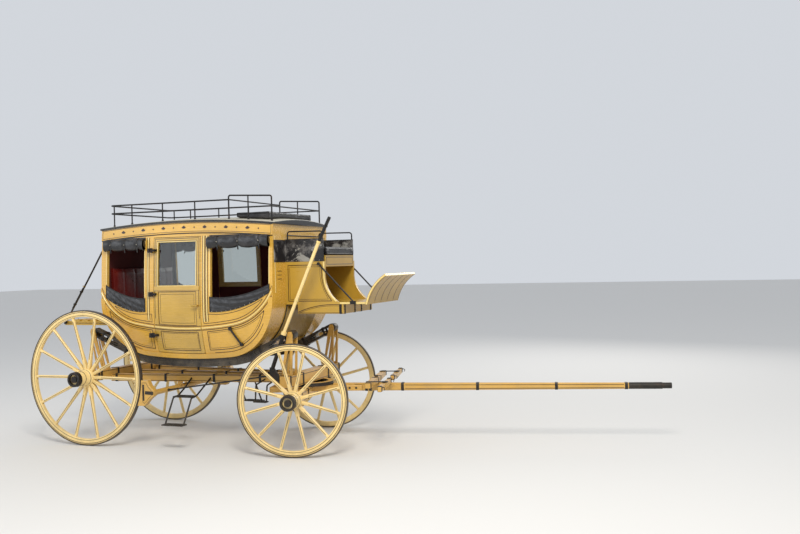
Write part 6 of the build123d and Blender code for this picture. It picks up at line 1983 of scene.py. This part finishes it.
EVENER_X, TREE_X, BAR_MIDDLE, BAR_HIGH = 0.700, 0.855, 0.65675, 0.0495
TREE_Y, TREE_END = 0.420, 0.300
bar = []
for y, wide, broad in (
    (-0.492, 0.0535, 0.034), (0.492, 0.0535, 0.034), (-0.075, 0.0730, 0.026), (0.075, 0.0730, 0.026)
):
    middle = (EVENER_X, y, BAR_MIDDLE)
    bar.append(turned_part(clip(middle, ACROSS, wide, BAR_HIGH, broad, 0.003, 0.006)) + (0,))
piece("evener_bar_irons", bar, [black_iron], "evener_bar")
for side, s in (("right", -1.0), ("left", 1.0)):
    tree_irons = []
    for end in (-1.0, 1.0):
        y = s * TREE_Y + end * TREE_END
        tree_irons.append(
            turned_part(
                clip((TREE_X, y, BAR_MIDDLE), ACROSS, 0.0375, BAR_HIGH, 0.046, 0.003, 0.006)
            ) + (0,)
        )
        tree_irons.append(turned_part(hook((TREE_X + 0.019, y, BAR_MIDDLE), ALONG)) + (0,))
    piece("singletree_%s_irons" % side, tree_irons, [black_iron], "tree_" + side)

# Floor, light and camera
# A plain pale floor with a soft key from the right and ahead, a broad fill and
# a pale sky, and the camera where the photograph was taken from.

floor_material, tree, shader = shaded("studio_floor")
shader.inputs["Base Color"].default_value = (0.70, 0.69, 0.67, 1.0)
shader.inputs["Roughness"].default_value = 0.85
floor_mesh = bpy.data.meshes.new("studio_floor")
FLOOR_REACH, FLOOR_Z = 60, -0.002
floor_corners = [
    (x * FLOOR_REACH, y * FLOOR_REACH, FLOOR_Z) for x, y in ((-1, -1), (1, -1), (1, 1), (-1, 1))
]
floor_mesh.from_pydata(floor_corners, [], [(0, 1, 2, 3)])
floor_mesh.materials.append(floor_material)
studio_floor = shown("studio_floor", floor_mesh)

sky = bpy.data.worlds.new("studio_sky")
sky.use_nodes = True
sky.node_tree.nodes["Background"].inputs["Color"].default_value = (0.90, 0.94, 1.0, 1.0)
sky.node_tree.nodes["Background"].inputs["Strength"].default_value = 0.72
bpy.context.scene.world = sky
bpy.context.scene.view_settings.view_transform = "Standard"


def lamp(name, at, target, size, power, colour):
    """An area light at a point, turned so that its -Z looks at the target."""
    light = bpy.data.lights.new(name, "AREA")
    light.size = size
    light.energy = power
    light.color = colour
    made = shown(name, light)
    back = unit(np.array(at, dtype=float) - np.array(target, dtype=float))
    right = unit(np.cross(UPWARD, back))
    up = np.cross(back, right)
    made.matrix_world = Matrix(
        [(right[k], up[k], back[k], at[k]) for k in range(3)] + [(0.0, 0.0, 0.0, 1.0)]
    )
    return made


lamp("key", (3.5, -7.5, 8.5), (-1.0, 0.0, 1.2), 3.0, 860.0, (1.0, 0.95, 0.86))
lamp("fill", (-8.0, -8.0, 4.5), (-1.0, 0.0, 1.0), 6.0, 160.0, (0.90, 0.95, 1.0))
lamp("rim", (2.0, 9.0, 6.0), (-1.0, 0.0, 1.2), 5.0, 220.0, (1.0, 0.97, 0.92))

# The camera stands 1.875 m up beside the pole, looking back at the coach; the
# photograph's lens is 872.6 pixels of an 800-pixel frame, held 1.34 degrees off level.
EYE = np.array([3.84236, -8.33150, 1.87502])
YAW, PITCH, ROLL = 0.357457, -0.0053466, -0.0234274
PHOTO_FOCAL, PHOTO_WIDE = 872.566, 800.0
forward = np.array([-math.sin(YAW) * math.cos(PITCH), math.cos(YAW) * math.cos(PITCH), math.sin(PITCH)])
level = np.array([math.cos(YAW), math.sin(YAW), 0.0])
upright = np.cross(level, forward)
right = math.cos(ROLL) * level + math.sin(ROLL) * upright
above = -math.sin(ROLL) * level + math.cos(ROLL) * upright
lens = bpy.data.cameras.new("camera")
lens.sensor_width = 36.0
lens.lens = PHOTO_FOCAL / PHOTO_WIDE * lens.sensor_width
lens.clip_end = 200.0
camera = shown("camera", lens)
camera.matrix_world = Matrix(
    [(right[k], above[k], -forward[k], EYE[k]) for k in range(3)] + [(0.0, 0.0, 0.0, 1.0)]
)
bpy.context.scene.camera = camera
